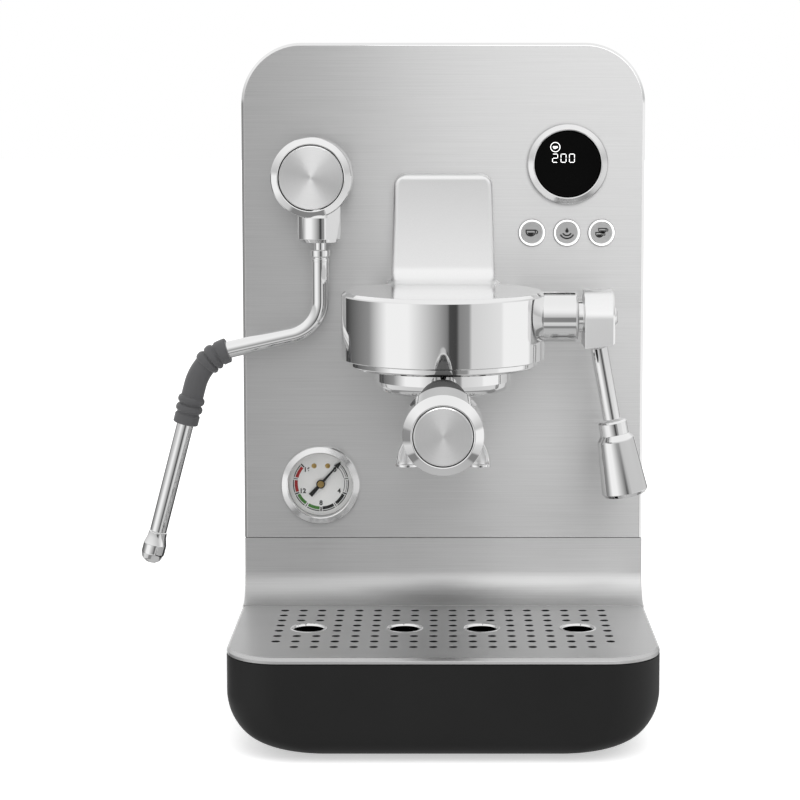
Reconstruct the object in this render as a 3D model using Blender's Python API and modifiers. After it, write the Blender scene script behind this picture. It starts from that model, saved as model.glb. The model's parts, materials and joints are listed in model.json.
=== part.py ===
"""Counter-top espresso machine with a swivelling steam wand, a steam lever and a 58 mm portafilter.

Lengths below are in millimetres, and the helpers turn them into metres. They are measured from the
machine's own datum: x = 0 is its middle, y = 0 the face of the front panel (y grows to the back) and
z = 0 the worktop. The empty "machine" then carries everything to the middle of the bounding box.
"""

import math

import bmesh
import bpy
from mathutils import Vector

MM = 0.001
GAP = 0.3

# The empty that carries the machine: the bounding box is then centred on x = 0 and y = 0.
MACHINE_X = 29.8
MACHINE_Y = -29.4

# Body
HALF_WIDTH = 120.0
TOP = 393.3
TOP_RADIUS = 36.0
SEAM = 96.0
SHEET = 2.5
CASING_BACK = 281.0
TUB_TOP = 54.9
TUB_FOOT = 3.0
TUB_RADIUS = 31.0
TUB_WALL = 2.5
TUB_BACK = 284.0
TUB_FRONT = -139.5
TUB_CORNER = 30.0
SWEEP_RADIUS = 17.0
GRILLE_TOP = 58.5
GRILLE_FRONT = -139.0
GRILLE_PITCH = 11.0
DRAIN_RADIUS = 9.65
DRAIN_COLUMNS = (-7.0, -2.0, 2.0, 7.0)

# Group and portafilter, about the vertical axis x = 0, y = GROUP_Y
GROUP_Y = -72.0
DRUM_RADIUS = 57.4
DRUM_TOP = 252.3
DRUM_BOTTOM = 214.2
NECK_HALF_WIDTH = 29.5
NECK_TOP = 316.0
HANDLE_Z = 195.8
HANDLE_DROOP = 0.62
UNLOCK_ANGLE = -50.0

# Steam lever, about the horizontal axis y = GROUP_Y, z = LEVER_Z
LEVER_Z = 237.5
ROD_TILT = 10.5

# Steam wand, about the vertical axis x = WAND_X, y = WAND_Y
WAND_X = -72.3
WAND_Y = -21.0
TUBE_RADIUS = 5.0
BOSS_X = -76.8
BOSS_Z = 314.5
BOSS_RADIUS = 23.6
LOWER_TUBE_TILT = 14.65

# Instruments
GAUGE_X = -73.9
GAUGE_Z = 128.7
DISPLAY_X = 73.9
DISPLAY_Z = 321.7
BUTTON_Z = 280.7
BUTTON_X = {"left": 52.9, "middle": 73.8, "right": 94.4}
NEEDLE_ANGLE = 48.0

# Openings in the top of the casing
CUP_TRAY = (-80.0, 16.0, 80.0, 184.0)
TANK_MOUTH = (-80.0, 196.0, 80.0, 276.0)

AXES = {
    "Z": (0, 0, 0),
    "-Y": (90, 0, 0),
    "Y": (-90, 0, 0),
    "X": (0, 90, 0),
}
PLANES = {
    "XY": (0, 0, 0),
    "XZ": (90, 0, 0),
    "YZ": (90, 0, 90),
}
MATERIALS = {
    "brushed_steel": ((0.56, 0.56, 0.56), 0.34, 1.0),
    "chrome": ((0.80, 0.80, 0.81), 0.08, 1.0),
    "black_plastic": ((0.022, 0.022, 0.022), 0.55, 0.0),
    "black_paint": ((0.030, 0.030, 0.030), 0.45, 0.0),
    "grey_rubber": ((0.105, 0.105, 0.108), 0.60, 0.0),
    "black_rubber": ((0.020, 0.020, 0.020), 0.80, 0.0),
    "smoked_plastic": ((0.10, 0.11, 0.12), 0.15, 0.0),
    "black_glass": ((0.008, 0.008, 0.010), 0.05, 0.0),
    "clear_glass": ((0.90, 0.92, 0.93), 0.02, 0.0),
    "white_enamel": ((0.72, 0.72, 0.72), 0.50, 0.0),
    "lit_plastic": ((0.85, 0.85, 0.85), 0.40, 0.0),
    "grey_plastic": ((0.32, 0.32, 0.32), 0.45, 0.0),
    "dark_metal": ((0.06, 0.06, 0.06), 0.30, 1.0),
    "aluminium": ((0.62, 0.62, 0.62), 0.45, 1.0),
    "brass": ((0.60, 0.42, 0.14), 0.30, 1.0),
    "board_green": ((0.02, 0.14, 0.05), 0.50, 0.0),
    "white_hose": ((0.65, 0.65, 0.63), 0.50, 0.0),
}


# ---------------------------------------------------------------- helpers


def clear_scene():
    for obj in list(bpy.data.objects):
        bpy.data.objects.remove(obj)


def new_collection(name, hidden=False):
    collection = bpy.data.collections.new(name)
    collection.hide_render = hidden
    bpy.context.scene.collection.children.link(collection)
    return collection


def material(name):
    """The Principled material of this name, made on first use."""
    if name in bpy.data.materials:
        return bpy.data.materials[name]
    color, roughness, metallic = MATERIALS[name]
    made = bpy.data.materials.new(name)
    made.use_nodes = True
    shader = made.node_tree.nodes["Principled BSDF"]
    shader.inputs["Base Color"].default_value = (*color, 1.0)
    shader.inputs["Roughness"].default_value = roughness
    shader.inputs["Metallic"].default_value = metallic
    made.diffuse_color = (*color, 1.0)
    return made


def empty(name, place, parent=None):
    """An empty at a place in the machine's datum, as the pivot of what moves."""
    made = bpy.data.objects.new(name, None)
    PARTS.objects.link(made)
    return put(made, place, parent)


def datum_of(obj):
    """Where an object's origin lies in the machine's datum, in metres."""
    place = Vector((0, 0, 0))
    while obj is not None and obj.name != "machine":
        place += obj.location
        obj = obj.parent
    return place


def put(obj, place, parent=None, rotation=(0, 0, 0)):
    """Places an object by its point in the machine's datum, in millimetres, and its angles in degrees."""
    obj.parent = parent or bpy.data.objects.get("machine")
    obj.location = Vector(place) * MM - datum_of(obj.parent)
    obj.rotation_euler = [math.radians(angle) for angle in rotation]
    return obj


def add(name, data, finish, cutter=False):
    obj = bpy.data.objects.new(name, data)
    (CUTTERS if cutter else PARTS).objects.link(obj)
    obj.hide_render = cutter
    if cutter:
        obj.display_type = "WIRE"
    if finish:
        data.materials.append(material(finish))
    return obj


def block(name, low, high, finish=None, bevel=0.0, parent=None, cutter=False, turn=0.0):
    """A box between two corners, with its vertical and other edges bevelled."""
    mesh = bpy.data.meshes.new(name)
    shape = bmesh.new()
    bmesh.ops.create_cube(shape, size=1.0)
    size = [(b - a) * MM for a, b in zip(low, high)]
    bmesh.ops.scale(shape, vec=size, verts=shape.verts)
    shape.to_mesh(mesh)
    shape.free()
    obj = add(name, mesh, finish, cutter)
    put(obj, [(a + b) / 2 for a, b in zip(low, high)], parent, (0, 0, turn))
    if bevel:
        rounding = obj.modifiers.new("edges", "BEVEL")
        rounding.width = bevel * MM
        rounding.segments = 2
    return obj


def turned(name, profile, centre, axis="Z", finish=None, steps=32, parent=None, cutter=False, closed=False):
    """A profile of (radius, height) points, in millimetres, turned about an axis through centre."""
    mesh = bpy.data.meshes.new(name)
    points = [(radius * MM, 0.0, height * MM) for radius, height in profile]
    edges = [(i, i + 1) for i in range(len(points) - 1)]
    if closed:
        edges.append((len(points) - 1, 0))
    mesh.from_pydata(points, edges, [])
    obj = add(name, mesh, finish, cutter)
    put(obj, centre, parent, AXES[axis] if isinstance(axis, str) else axis)
    screw = obj.modifiers.new("turn", "SCREW")
    screw.steps = screw.render_steps = steps
    screw.use_merge_vertices = True
    screw.merge_threshold = 0.00001
    screw.use_smooth_shade = True
    return obj


def mesh_of_curve(obj, finish):
    """The same object as a mesh with its caps welded, so that it can be cut."""
    graph = bpy.context.evaluated_depsgraph_get()
    mesh = bpy.data.meshes.new_from_object(obj.evaluated_get(graph))
    shape = bmesh.new()
    shape.from_mesh(mesh)
    bmesh.ops.remove_doubles(shape, verts=shape.verts, dist=0.00001)
    bmesh.ops.recalc_face_normals(shape, faces=shape.faces)
    shape.to_mesh(mesh)
    shape.free()
    name, cutter = obj.name, obj.hide_render
    parent, location, rotation = obj.parent, obj.location.copy(), obj.rotation_euler.copy()
    bpy.data.objects.remove(obj)
    mesh.materials.clear()
    made = add(name, mesh, finish, cutter)
    made.parent, made.location, made.rotation_euler = parent, location, rotation
    return made


def curve_data(name, splines, flat, cyclic):
    data = bpy.data.curves.new(name, "CURVE")
    data.dimensions = "2D" if flat else "3D"
    for points in splines:
        spline = data.splines.new("POLY")
        spline.points.add(len(points) - 1)
        spline.use_cyclic_u = cyclic
        for point, place in zip(spline.points, points):
            point.co = (*[value * MM for value in place[:3]], *([0.0] * (3 - len(place))), 1.0)
    return data


def plate(name, outlines, plane, start, end, finish=None, parent=None, cutter=False):
    """Outlines in a plane, the first round the outside and the rest round its holes, given a thickness."""
    data = curve_data(name, outlines, True, True)
    data.fill_mode = "BOTH"
    data.extrude = abs(end - start) / 2 * MM
    obj = add(name, data, None, cutter)
    middle = (start + end) / 2
    place = {"XY": (0, 0, middle), "XZ": (0, middle, 0), "YZ": (middle, 0, 0)}[plane]
    put(obj, place, parent, PLANES[plane])
    return mesh_of_curve(obj, finish)


def tube(name, path, radius, finish=None, parent=None, cutter=False, swell=None, resolution=4):
    """A round bar along a path. swell scales its radius at each point of the path."""
    origin = datum_of(parent) / MM
    data = curve_data(name, [[Vector(point) - origin for point in path]], False, False)
    data.bevel_depth = radius * MM
    data.bevel_resolution = resolution
    data.use_fill_caps = True
    for index, factor in enumerate(swell or []):
        data.splines[0].points[index].radius = factor
    obj = add(name, data, None, cutter)
    put(obj, origin, parent)
    return mesh_of_curve(obj, finish)


def boolean(obj, other, operation="DIFFERENCE"):
    step = obj.modifiers.new(other.name, "BOOLEAN")
    step.operation = operation
    step.object = other
    return obj


def fillet(before, corner, after, radius, steps):
    """Points of the arc that rounds a corner between two others."""
    before, corner, after = Vector(before), Vector(corner), Vector(after)
    back = (before - corner).normalized()
    ahead = (after - corner).normalized()
    half = back.angle(ahead) / 2
    centre = corner + (back + ahead).normalized() * radius / math.sin(half)
    first = (corner + back * radius / math.tan(half) - centre).normalized()
    last = (corner + ahead * radius / math.tan(half) - centre).normalized()
    return [centre + radius * first.slerp(last, step / steps) for step in range(steps + 1)]


def rounded(corners, steps=6, cyclic=True):
    """An outline or a path through (x, y, radius) or (x, y, z, radius) corners."""
    places = [Vector((*corner[:-1], 0.0)[:3]) for corner in corners]
    points = []
    for index, corner in enumerate(corners):
        if not corner[-1] or (not cyclic and index in (0, len(corners) - 1)):
            points.append(places[index])
            continue
        following = places[(index + 1) % len(places)]
        points += fillet(places[index - 1], places[index], following, corner[-1], steps)
    return [tuple(point) for point in points]


def circle(x, y, radius, steps=24):
    turns = [math.tau * step / steps for step in range(steps)]
    return [(x + radius * math.cos(turn), y + radius * math.sin(turn)) for turn in turns]


def stretch(path, start, end, count):
    """Evenly spaced points of a path between two distances along it, with the ends."""
    path = [Vector(point) for point in path]
    marks = [0.0]
    for before, after in zip(path, path[1:]):
        marks.append(marks[-1] + (after - before).length)
    points = []
    for step in range(count):
        distance = start + (end - start) * step / (count - 1)
        index = max(i for i, mark in enumerate(marks[:-1]) if mark <= distance)
        share = (distance - marks[index]) / (marks[index + 1] - marks[index])
        points.append(path[index].lerp(path[index + 1], share))
    return points


# ---------------------------------------------------------------- body


def arch(inset, foot, top=TOP):
    """The front outline of the body: a box with two round upper corners."""
    side, radius = HALF_WIDTH - inset, TOP_RADIUS - inset
    return rounded([(-side, foot, 0), (side, foot, 0), (side, top - inset, radius), (-side, top - inset, radius)])


def tub_section(inset, top):
    """The section of the base across its width: round lower corners."""
    side, foot, radius = HALF_WIDTH - inset, TUB_FOOT + inset, TUB_RADIUS - inset
    return rounded([(-side, top, 0), (-side, foot, radius), (side, foot, radius), (side, top, 0)], 8)


def base_chassis():
    tub = plate("base_chassis", [tub_section(0, TUB_TOP)], "XZ", GAP, TUB_BACK, "black_plastic")
    hollow = plate("chassis_hollow", [tub_section(TUB_WALL, TUB_TOP + 10)], "XZ", GAP + TUB_WALL,
                   TUB_BACK - TUB_WALL, cutter=True)
    boolean(tub, hollow)
    for side in (-1, 1):
        runner = block("runner_cutter", (side * 60 - 5.8, -112, 6.5), (side * 60 + 5.8, 4, 10.8), cutter=True)
        boolean(tub, runner, "UNION")


def feet():
    profile = [(0, 2.7), (10.2, 2.7), (11, 2.2), (11, 0.7), (10.3, 0), (0, 0)]
    for side, x in (("left", -72), ("right", 72)):
        for end, y in (("front", 22), ("rear", 262)):
            turned(f"foot_{end}_{side}", profile, (x, y, 0), finish="black_rubber", steps=20)


def casing_shell():
    outer, inner = arch(GAP, TUB_TOP + GAP), arch(GAP + 2, TUB_TOP + GAP)
    foot_left, foot_right, *around = outer
    inner_left, inner_right, *inner_around = inner
    outline = [foot_right, *around, foot_left, inner_left, *reversed(inner_around), inner_right]
    shell = plate("casing_shell", [outline], "XZ", SHEET + GAP, CASING_BACK, "black_paint")
    for name, (x0, y0, x1, y1) in (("cup_tray_mouth", CUP_TRAY), ("tank_mouth", TANK_MOUTH)):
        boolean(shell, block(name, (x0, y0, TOP - 12), (x1, y1, TOP + 8), cutter=True))


def front_panel():
    holes = [circle(BUTTON_X[side], BUTTON_Z, 7.7, 20) for side in BUTTON_X]
    holes += [circle(GAUGE_X, GAUGE_Z, 22.5, 32), circle(DISPLAY_X, DISPLAY_Z, 21.0, 32)]
    holes += [circle(BOSS_X, BOSS_Z, 10.2, 24)]
    holes += [[(-18.5, 227), (18.5, 227), (18.5, 301), (-18.5, 301)]]
    plate("front_panel", [arch(0, SEAM + 0.2), *holes], "XZ", 0, SHEET, "brushed_steel")


def lower_splash_panel():
    """The sheet below the seam, which sweeps forward into the plane of the grille."""
    centre = (-SWEEP_RADIUS, GRILLE_TOP + SWEEP_RADIUS)
    thickness = 2.0
    turns = [math.radians(10 * step) for step in range(10)]
    front = [(centre[0] + SWEEP_RADIUS * math.cos(t), centre[1] - SWEEP_RADIUS * math.sin(t)) for t in turns]
    back_radius = SWEEP_RADIUS + thickness
    back = [(centre[0] + back_radius * math.cos(t), centre[1] - back_radius * math.sin(t)) for t in turns]
    outline = [(0, SEAM - 0.2), *front, *reversed(back), (thickness, SEAM - 0.2)]
    plate("lower_splash_panel", [outline], "YZ", -HALF_WIDTH, HALF_WIDTH, "brushed_steel")


def rear_cover():
    holes = [[(x - 1.6, 200), (x + 1.6, 200), (x + 1.6, 260), (x - 1.6, 260)]
             for x in (-70, -56, -42, -28, 28, 42, 56, 70)]
    holes += [circle(-60, 90, 9.3, 20)]
    holes += [[(60.4, 76.8), (80.2, 76.8), (80.2, 103.2), (60.4, 103.2)]]
    plate("rear_cover", [arch(GAP, TUB_TOP + GAP), *holes], "XZ", CASING_BACK + GAP, 283.5, "black_paint")


def cord_gland():
    profile = [(5.0, 9), (9.0, 9), (12, 6), (12, 0), (9.0, 0), (9.0, -4.5), (5.0, -4.5)]
    turned("cord_gland", profile, (-60, 283.8, 90), "Y", "black_rubber", 20, closed=True)


def power_switch():
    pivot = empty("power_switch_pivot", (70.3, 279.5, 90))
    outline = [(274.0, 80), (283.0, 78.2), (285.2, 84), (284.0, 90), (286.6, 101.8), (274.0, 100)]
    plate("power_switch", [outline], "YZ", 61.3, 79.3, "black_plastic", pivot)


def cup_warmer_tray():
    x0, y0, x1, y1 = CUP_TRAY
    edge, wall, lip = GAP, 1.6, TOP - GAP
    outer = [(x0 + edge, y0 + edge), (x1 - edge, y0 + edge), (x1 - edge, y1 - edge), (x0 + edge, y1 - edge)]
    pan = plate("cup_warmer_tray", [rounded([(*corner, 1.0) for corner in outer], 2)], "XY", 384, lip, "brushed_steel")
    inner = edge + wall
    boolean(pan, block("cup_tray_hollow", (x0 + inner, y0 + inner, 386), (x1 - inner, y1 - inner, 410), cutter=True))


def water_tank():
    pivot = empty("water_tank_pivot", (0, 236, 150))
    x0, y0, x1, y1 = TANK_MOUTH
    tank = block("water_tank", (x0 + 0.6, y0 + 0.8, 150), (x1 - 0.6, y1 - 0.8, 388), "smoked_plastic", parent=pivot)
    boolean(tank, block("tank_hollow", (x0 + 3.2, y0 + 3.4, 153), (x1 - 3.2, y1 - 3.4, 420), parent=pivot, cutter=True))
    lid_pivot = empty("tank_lid_pivot", (0, y1 - 0.6, TOP - GAP), pivot)
    block("water_tank_lid", (x0 + 0.6, y0 + 0.8, 388.3), (x1 - 0.6, y1 - 0.6, TOP - GAP), "black_plastic",
          parent=lid_pivot)


def inner_frame():
    shelf = [(190, 8.8), (192.5, 8.8), (192.5, 146.7), (279, 146.7), (279, 149.7), (190, 149.7)]
    frame = plate("tank_shelf", [shelf], "YZ", -85, 85, "aluminium")
    hole = [(0, 20), (11, 20), (11, -20), (0, -20)]
    boolean(frame, turned("shelf_hole", hole, (0, 236, 148), steps=20, cutter=True))
    boolean(frame, turned("hose_hole", hole, (-70, 190, 50), "Y", steps=20, cutter=True))
    bracket = [(6, 8.8), (60, 8.8), (60, 11.8), (9, 11.8), (9, 330), (6, 330)]
    plate("group_bracket", [bracket], "YZ", -40, 40, "aluminium")


# ---------------------------------------------------------------- water and steam circuit


def circuit():
    block("thermoblock", (-45, 25, 240), (45, 105, 312), "aluminium", bevel=4)
    pump = [(0, 60), (8, 60), (8, 48), (20, 48), (20, 30), (26, 30), (26, -30), (18, -30), (18, -46), (7, -46),
            (7, -58), (0, -58)]
    turned("vibration_pump", pump, (-70, 120, 50), "Y", "dark_metal", 16)
    valve = [(0, 96), (7, 96), (7, 88), (17, 88), (17, 48), (12, 48), (12, 26), (0, 26)]
    turned("solenoid_valve", valve, (70, 70, 0), "Z", "brass", 20)
    block("control_board", (36, 16, 265), (112, 17.6, 350), "board_green")
    hose = rounded([(0, 236, 149.4, 0), (0, 236, 60, 25), (-70, 236, 50, 25), (-70, 180.5, 50, 0)], 5, False)
    tube("suction_hose", hose, 4.5, "white_hose", resolution=2)
    pressure = rounded([(-70, 61.7, 50, 0), (-70, 40, 50, 14), (-70, 40, 180, 20), (-25, 60, 200, 20),
                        (-25, 60, 239.7, 0)], 5, False)
    tube("pressure_pipe", pressure, 3.0, "brass", resolution=2)
    steam = rounded([(-45.3, 60, 285, 0), (-76.8, 60, 285, 14), (-76.8, 40, 314.5, 12), (-76.8, 14, 314.5, 0)], 5, False)
    tube("steam_pipe", steam, 3.0, "brass", resolution=2)


# ---------------------------------------------------------------- group


def group_housing():
    """The polished drum and the neck that carries it, cast as one."""
    profile = [(0, DRUM_TOP), (DRUM_RADIUS - 1.7, DRUM_TOP), (DRUM_RADIUS, DRUM_TOP - 1.7),
               (DRUM_RADIUS, DRUM_BOTTOM), (47.4, DRUM_BOTTOM), (47.4, 246), (0, 246)]
    drum = turned("group_housing", profile, (0, GROUP_Y, 0), finish="chrome", steps=56)
    arm = [(-GAP, 216), (-GAP, NECK_TOP), (-12, NECK_TOP), (-20.5, 266)]
    arm += fillet((-20.5, 266, 0), (-23, 251.5, 0), (-45, 251.5, 0), 10, 5)
    neck = plate("neck_cutter", [[tuple(point)[:2] for point in arm] + [(-45, 249), (-23, 249), (-23, 216)]], "YZ",
                 -NECK_HALF_WIDTH, NECK_HALF_WIDTH, cutter=True)
    side = NECK_HALF_WIDTH
    front = rounded([(-side, 200, 0), (side, 200, 0), (side, NECK_TOP, 7), (-side, NECK_TOP, 7)])
    boolean(neck, plate("neck_front_cutter", [front], "XZ", -80, 20, cutter=True), "INTERSECT")
    boolean(drum, neck, "UNION")
    boolean(drum, block("tenon_cutter", (-18, -2, 228), (18, 5.7, 300), cutter=True), "UNION")


def group_head():
    """The brewing head inside the drum, with the bayonet that holds the portafilter."""
    profile = [(0, 245.6), (47.0, 245.6), (47.0, 213.9), (53.5, 213.9), (53.5, 211.1), (52.3, 209.9),
               (39.3, 209.9), (39.3, 214.0), (44.9, 214.0), (44.9, 222.2), (37.2, 222.2), (37.2, 231), (0, 231)]
    head = turned("group_head", profile, (0, GROUP_Y, 0), finish="chrome", steps=36)
    slots = block("ear_slots", (-44.6, GROUP_Y - 11.5, 209), (44.6, GROUP_Y + 11.5, 214.6), cutter=True,
                  turn=UNLOCK_ANGLE)
    boolean(head, slots)
    gasket = [(28.6, 222.4), (28.6, 230.7), (36.9, 230.7), (36.9, 222.4)]
    turned("group_gasket", gasket, (0, GROUP_Y, 0), finish="black_rubber", closed=True)
    screen = [(0, 226.5), (28.2, 226.5), (28.2, 224.0), (24, 222.4), (0, 221.8)]
    turned("shower_screen", screen, (0, GROUP_Y, 0), finish="brushed_steel")


# ---------------------------------------------------------------- portafilter


def portafilter():
    pivot = empty("portafilter_pivot", (0, GROUP_Y, 0))
    centre = (0, GROUP_Y, 0)
    bowl = [(35.2, 219.6), (35.2, 221.9), (38.6, 221.9), (38.6, 202.2), (37.9, 199.4), (36.2, 197.0), (33.2, 195.5),
            (0, 194.8), (0, 197.4), (22, 198.0), (29.2, 201.2), (31.3, 206), (31.3, 219.6)]
    on_axis = bowl.index((0, 197.4))
    body = turned("portafilter_body", bowl[on_axis:] + bowl[:on_axis], centre, finish="chrome", steps=32, parent=pivot)
    for side in (-1, 1):
        low, high = sorted((side * 35.5, side * 43.2))
        ear = block("ear_cutter", (low, GROUP_Y - 9.5, 214.5), (high, GROUP_Y + 9.5, 221.2), parent=pivot, cutter=True)
        boolean(body, ear, "UNION")
    arm_path = rounded([(0, -104, 203.5, 0), (0, -115, HANDLE_Z + 1, 8), (0, -121.6, HANDLE_Z + 1, 0)], 3, False)
    boolean(body, tube("arm_cutter", arm_path, 6.8, parent=pivot, cutter=True), "UNION")

    basket = [(0, 205.0), (28.6, 205.8), (29.5, 221.5), (34.8, 221.5), (34.8, 219.9),
              (30.3, 219.9), (29.4, 205.0), (0, 204.2)]
    turned("filter_basket", basket, centre, finish="brushed_steel", parent=pivot)

    # the handle droops a little towards the user
    handle_axis = (90 + HANDLE_DROOP, 0, 0)
    handle_centre = (0, 0, HANDLE_Z + 121.9 * math.tan(math.radians(HANDLE_DROOP)))
    grip = [(0, 199.8), (15.6, 199.8), (16.4, 196), (16.6, 180), (15.7, 160), (14.3, 140), (13.4, 127.3),
            (12.2, 121.9), (0, 121.9)]
    turned("portafilter_handle", grip, handle_centre, handle_axis, "black_plastic", 32, pivot)
    collar = [(0, 232.0), (15.2, 232.0), (15.2, 233.6), (15.9, 233.8), (20.2, 229.3), (20.2, 200.9), (19.4, 200.1),
              (0, 200.1)]
    turned("handle_collar", collar, handle_centre, handle_axis, "chrome", 32, pivot)
    cap = [(0, 233.86), (14.3, 233.86), (14.8, 233.4), (14.8, 232.3), (0, 232.3)]
    turned("handle_cap", cap, handle_centre, handle_axis, "brushed_steel", 32, pivot)

    spout = turned("coffee_spout", [(0, 194.4), (9.5, 194.4), (9.5, 180), (8, 173), (0, 171)], centre,
                   finish="chrome", steps=20, parent=pivot)
    for side in (-1, 1):
        corners = [(-side * 4, GROUP_Y, 171, 0), (side * 20.6, GROUP_Y, 171, 18), (side * 20.6, GROUP_Y, 152.2, 0)]
        path = rounded(corners, 6, False)
        boolean(spout, tube("branch_cutter", path, 6.5, parent=pivot, cutter=True), "UNION")


# ---------------------------------------------------------------- steam lever


def steam_lever():
    housing = turned("steam_valve_housing", [(0, 75.7), (14.3, 75.7), (14.3, 48), (0, 48)],
                     (0, GROUP_Y, LEVER_Z), "X", "chrome", 32)
    around = [(0, 260), (DRUM_RADIUS + GAP, 260), (DRUM_RADIUS + GAP, 200), (0, 200)]
    boolean(housing, turned("drum_clearance", around, (0, GROUP_Y, 0), steps=64, cutter=True))

    pivot = empty("steam_lever_pivot", (89, GROUP_Y, LEVER_Z))
    foot, radius = 222.1, 15.8
    turns = [math.radians(15 * step) for step in range(13)]
    outline = [(GROUP_Y + radius * math.cos(t), LEVER_Z + radius * math.sin(t)) for t in turns]
    outline += [(GROUP_Y - radius, foot), (GROUP_Y + radius, foot)]
    head = plate("lever_block", [outline], "YZ", 79.0, 96.0, "brushed_steel", pivot)
    shaft = turned("shaft_cutter", [(0, 82), (8.9, 82), (8.9, 76.0), (0, 76.0)], (0, GROUP_Y, LEVER_Z), "X",
                   steps=24, parent=pivot, cutter=True)
    boolean(head, shaft, "UNION")
    cap = [(0, 98.9), (3.4, 98.4), (5.4, 97.4), (6.2, 96.3), (0, 96.3)]
    turned("lever_cap_screw", cap, (0, GROUP_Y, LEVER_Z), "X", "chrome", 20, pivot)

    lean = math.radians(ROD_TILT)
    top, grip_top, grip_length = (88.1, 220.1), 42.3, 43.1
    down = (math.sin(lean), -math.cos(lean))
    end = (top[0] + down[0] * (grip_top - GAP), top[1] + down[1] * (grip_top - GAP))
    tube("lever_rod", [(top[0], GROUP_Y, top[1]), (end[0], GROUP_Y, end[1])], 4.85, "chrome", pivot)
    tip = (top[0] + down[0] * (grip_top + grip_length), top[1] + down[1] * (grip_top + grip_length))
    knob = [(0, 43.1), (7.2, 43.1), (8.15, 42.0), (8.15, 35.0), (10.2, 32.4), (10.5, 31.4), (13.1, 2.0), (11.6, 0),
            (0, 0)]
    turned("lever_knob", knob, (tip[0], GROUP_Y, tip[1]), (0, -ROD_TILT, 0), "chrome", 24, pivot)


# ---------------------------------------------------------------- steam wand


def steam_wand():
    boss = [(0, 31.6), (19.3, 31.6), (19.3, 33.2), (20.6, 34.2), (22.4, 33.8), (23.6, 32.2), (23.6, 10.2), (22.4, 9),
            (14.5, 9), (14.5, GAP), (9.8, GAP), (9.8, -13), (0, -13)]
    turned("wand_boss", boss, (BOSS_X, 0, BOSS_Z), "-Y", "chrome", 32)
    cap = [(0, 33.6), (18.4, 33.6), (18.9, 33.1), (18.9, 31.9), (0, 31.9)]
    turned("wand_boss_cap", cap, (BOSS_X, 0, BOSS_Z), "-Y", "brushed_steel", 32)
    socket = [(0, 306), (12.7, 306), (12.7, 278.4), (10.7, 276.4), (0, 276.4)]
    socket = turned("wand_socket", socket, (WAND_X - 0.6, WAND_Y, 0), "Z", "chrome", 28)
    around = [(0, 60), (BOSS_RADIUS + GAP, 60), (BOSS_RADIUS + GAP, -20), (0, -20)]
    boolean(socket, turned("boss_clearance", around, (BOSS_X, 0, BOSS_Z), "-Y", steps=40, cutter=True))

    pivot = empty("wand_pivot", (WAND_X, WAND_Y, 270))
    neck = [(0, 276.1), (3.5, 276.1), (3.5, 271.9), (5.3, 271.7), (5.3, 267.9), (4.6, 267.6), (4.6, 267.2), (0, 267.2)]
    turned("wand_neck", neck, (WAND_X, WAND_Y, 0), "Z", "chrome", 20, pivot)
    corners = [(WAND_X, WAND_Y, 266.9, 0), (WAND_X, WAND_Y, 225.2, 21), (-142.0, WAND_Y, 209.3, 29.7),
               (-169.4, WAND_Y, 104.6, 0)]
    path = rounded(corners, 8, False)
    tube("wand_tube", path, TUBE_RADIUS, "chrome", pivot)

    sleeve_start, sleeve_end, rings = 92.5, 146.0, 33
    sleeve_path = stretch(path, sleeve_start, sleeve_end, rings)
    collars = (0, 1, 2, 3, rings - 4, rings - 3, rings - 2, rings - 1)
    ribs = (6, 9, rings - 7, rings - 10)
    swell = [7.4 if ring in collars else 7.9 if ring in ribs else 6.7 for ring in range(rings)]
    sleeve = tube("wand_grip", sleeve_path, 1.0, "grey_rubber", pivot, swell=swell, resolution=3)
    bore = stretch(path, sleeve_start - 3, sleeve_end + 3, 18)
    boolean(sleeve, tube("sleeve_bore", bore, TUBE_RADIUS + 0.4, parent=pivot, cutter=True))

    nozzle = [(0, 19.0), (5.4, 19.0), (5.6, 16.0), (6.85, 11.5), (6.85, 6.0), (5.6, 2.2), (3.2, 0.5), (0, 0)]
    turned("wand_nozzle", nozzle, (-174.3, WAND_Y, 85.6), (0, LOWER_TUBE_TILT, 0), "chrome", 24, pivot)


# ---------------------------------------------------------------- instruments


def round_on_panel(name, profile, x, z, finish, steps=32, parent=None, closed=False):
    """A turned piece whose heights are measured out from the panel's face."""
    return turned(name, profile, (x, 0, z), "-Y", finish, steps, parent, closed=closed)


def pressure_gauge():
    bezel = [(19.8, GAP), (19.8, 4.2), (20.8, 5.4), (22.4, 5.0), (23.9, 3.2), (23.9, GAP)]
    round_on_panel("gauge_bezel", bezel, GAUGE_X, GAUGE_Z, "chrome", 32, closed=True)
    case = [(0, -26), (20.3, -26), (20.3, -0.1), (22.1, -0.1), (22.1, -28), (0, -28)]
    round_on_panel("gauge_case", case, GAUGE_X, GAUGE_Z, "black_plastic")
    round_on_panel("gauge_dial", [(0, -2.0), (19.9, -2.0), (19.9, -2.8), (0, -2.8)], GAUGE_X, GAUGE_Z, "white_enamel")
    round_on_panel("gauge_glass", [(0, 2.4), (19.4, 2.4), (19.4, 1.2), (0, 1.2)], GAUGE_X, GAUGE_Z, "clear_glass")

    pivot = empty("gauge_needle_pivot", (GAUGE_X, -0.7, GAUGE_Z))
    lean = math.radians(NEEDLE_ANGLE)
    side_by_distance = [(-8.4, 1.1), (0, 0.7), (10.6, 0.35), (10.8, 1.35), (14.6, 0.5)]
    profile = side_by_distance + [(along, -side) for along, side in reversed(side_by_distance)]
    outline = [(GAUGE_X + along * math.cos(lean) - side * math.sin(lean),
                GAUGE_Z + along * math.sin(lean) + side * math.cos(lean)) for along, side in profile]
    needle = plate("gauge_needle", [outline], "XZ", -0.9, -0.3, "dark_metal", pivot)
    hub = turned("hub_cutter", [(0, 0.98), (2.1, 0.98), (2.1, -1.5), (0, -1.5)], (GAUGE_X, 0, GAUGE_Z), "-Y",
                 steps=16, parent=pivot, cutter=True)
    boolean(needle, hub, "UNION")


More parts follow.
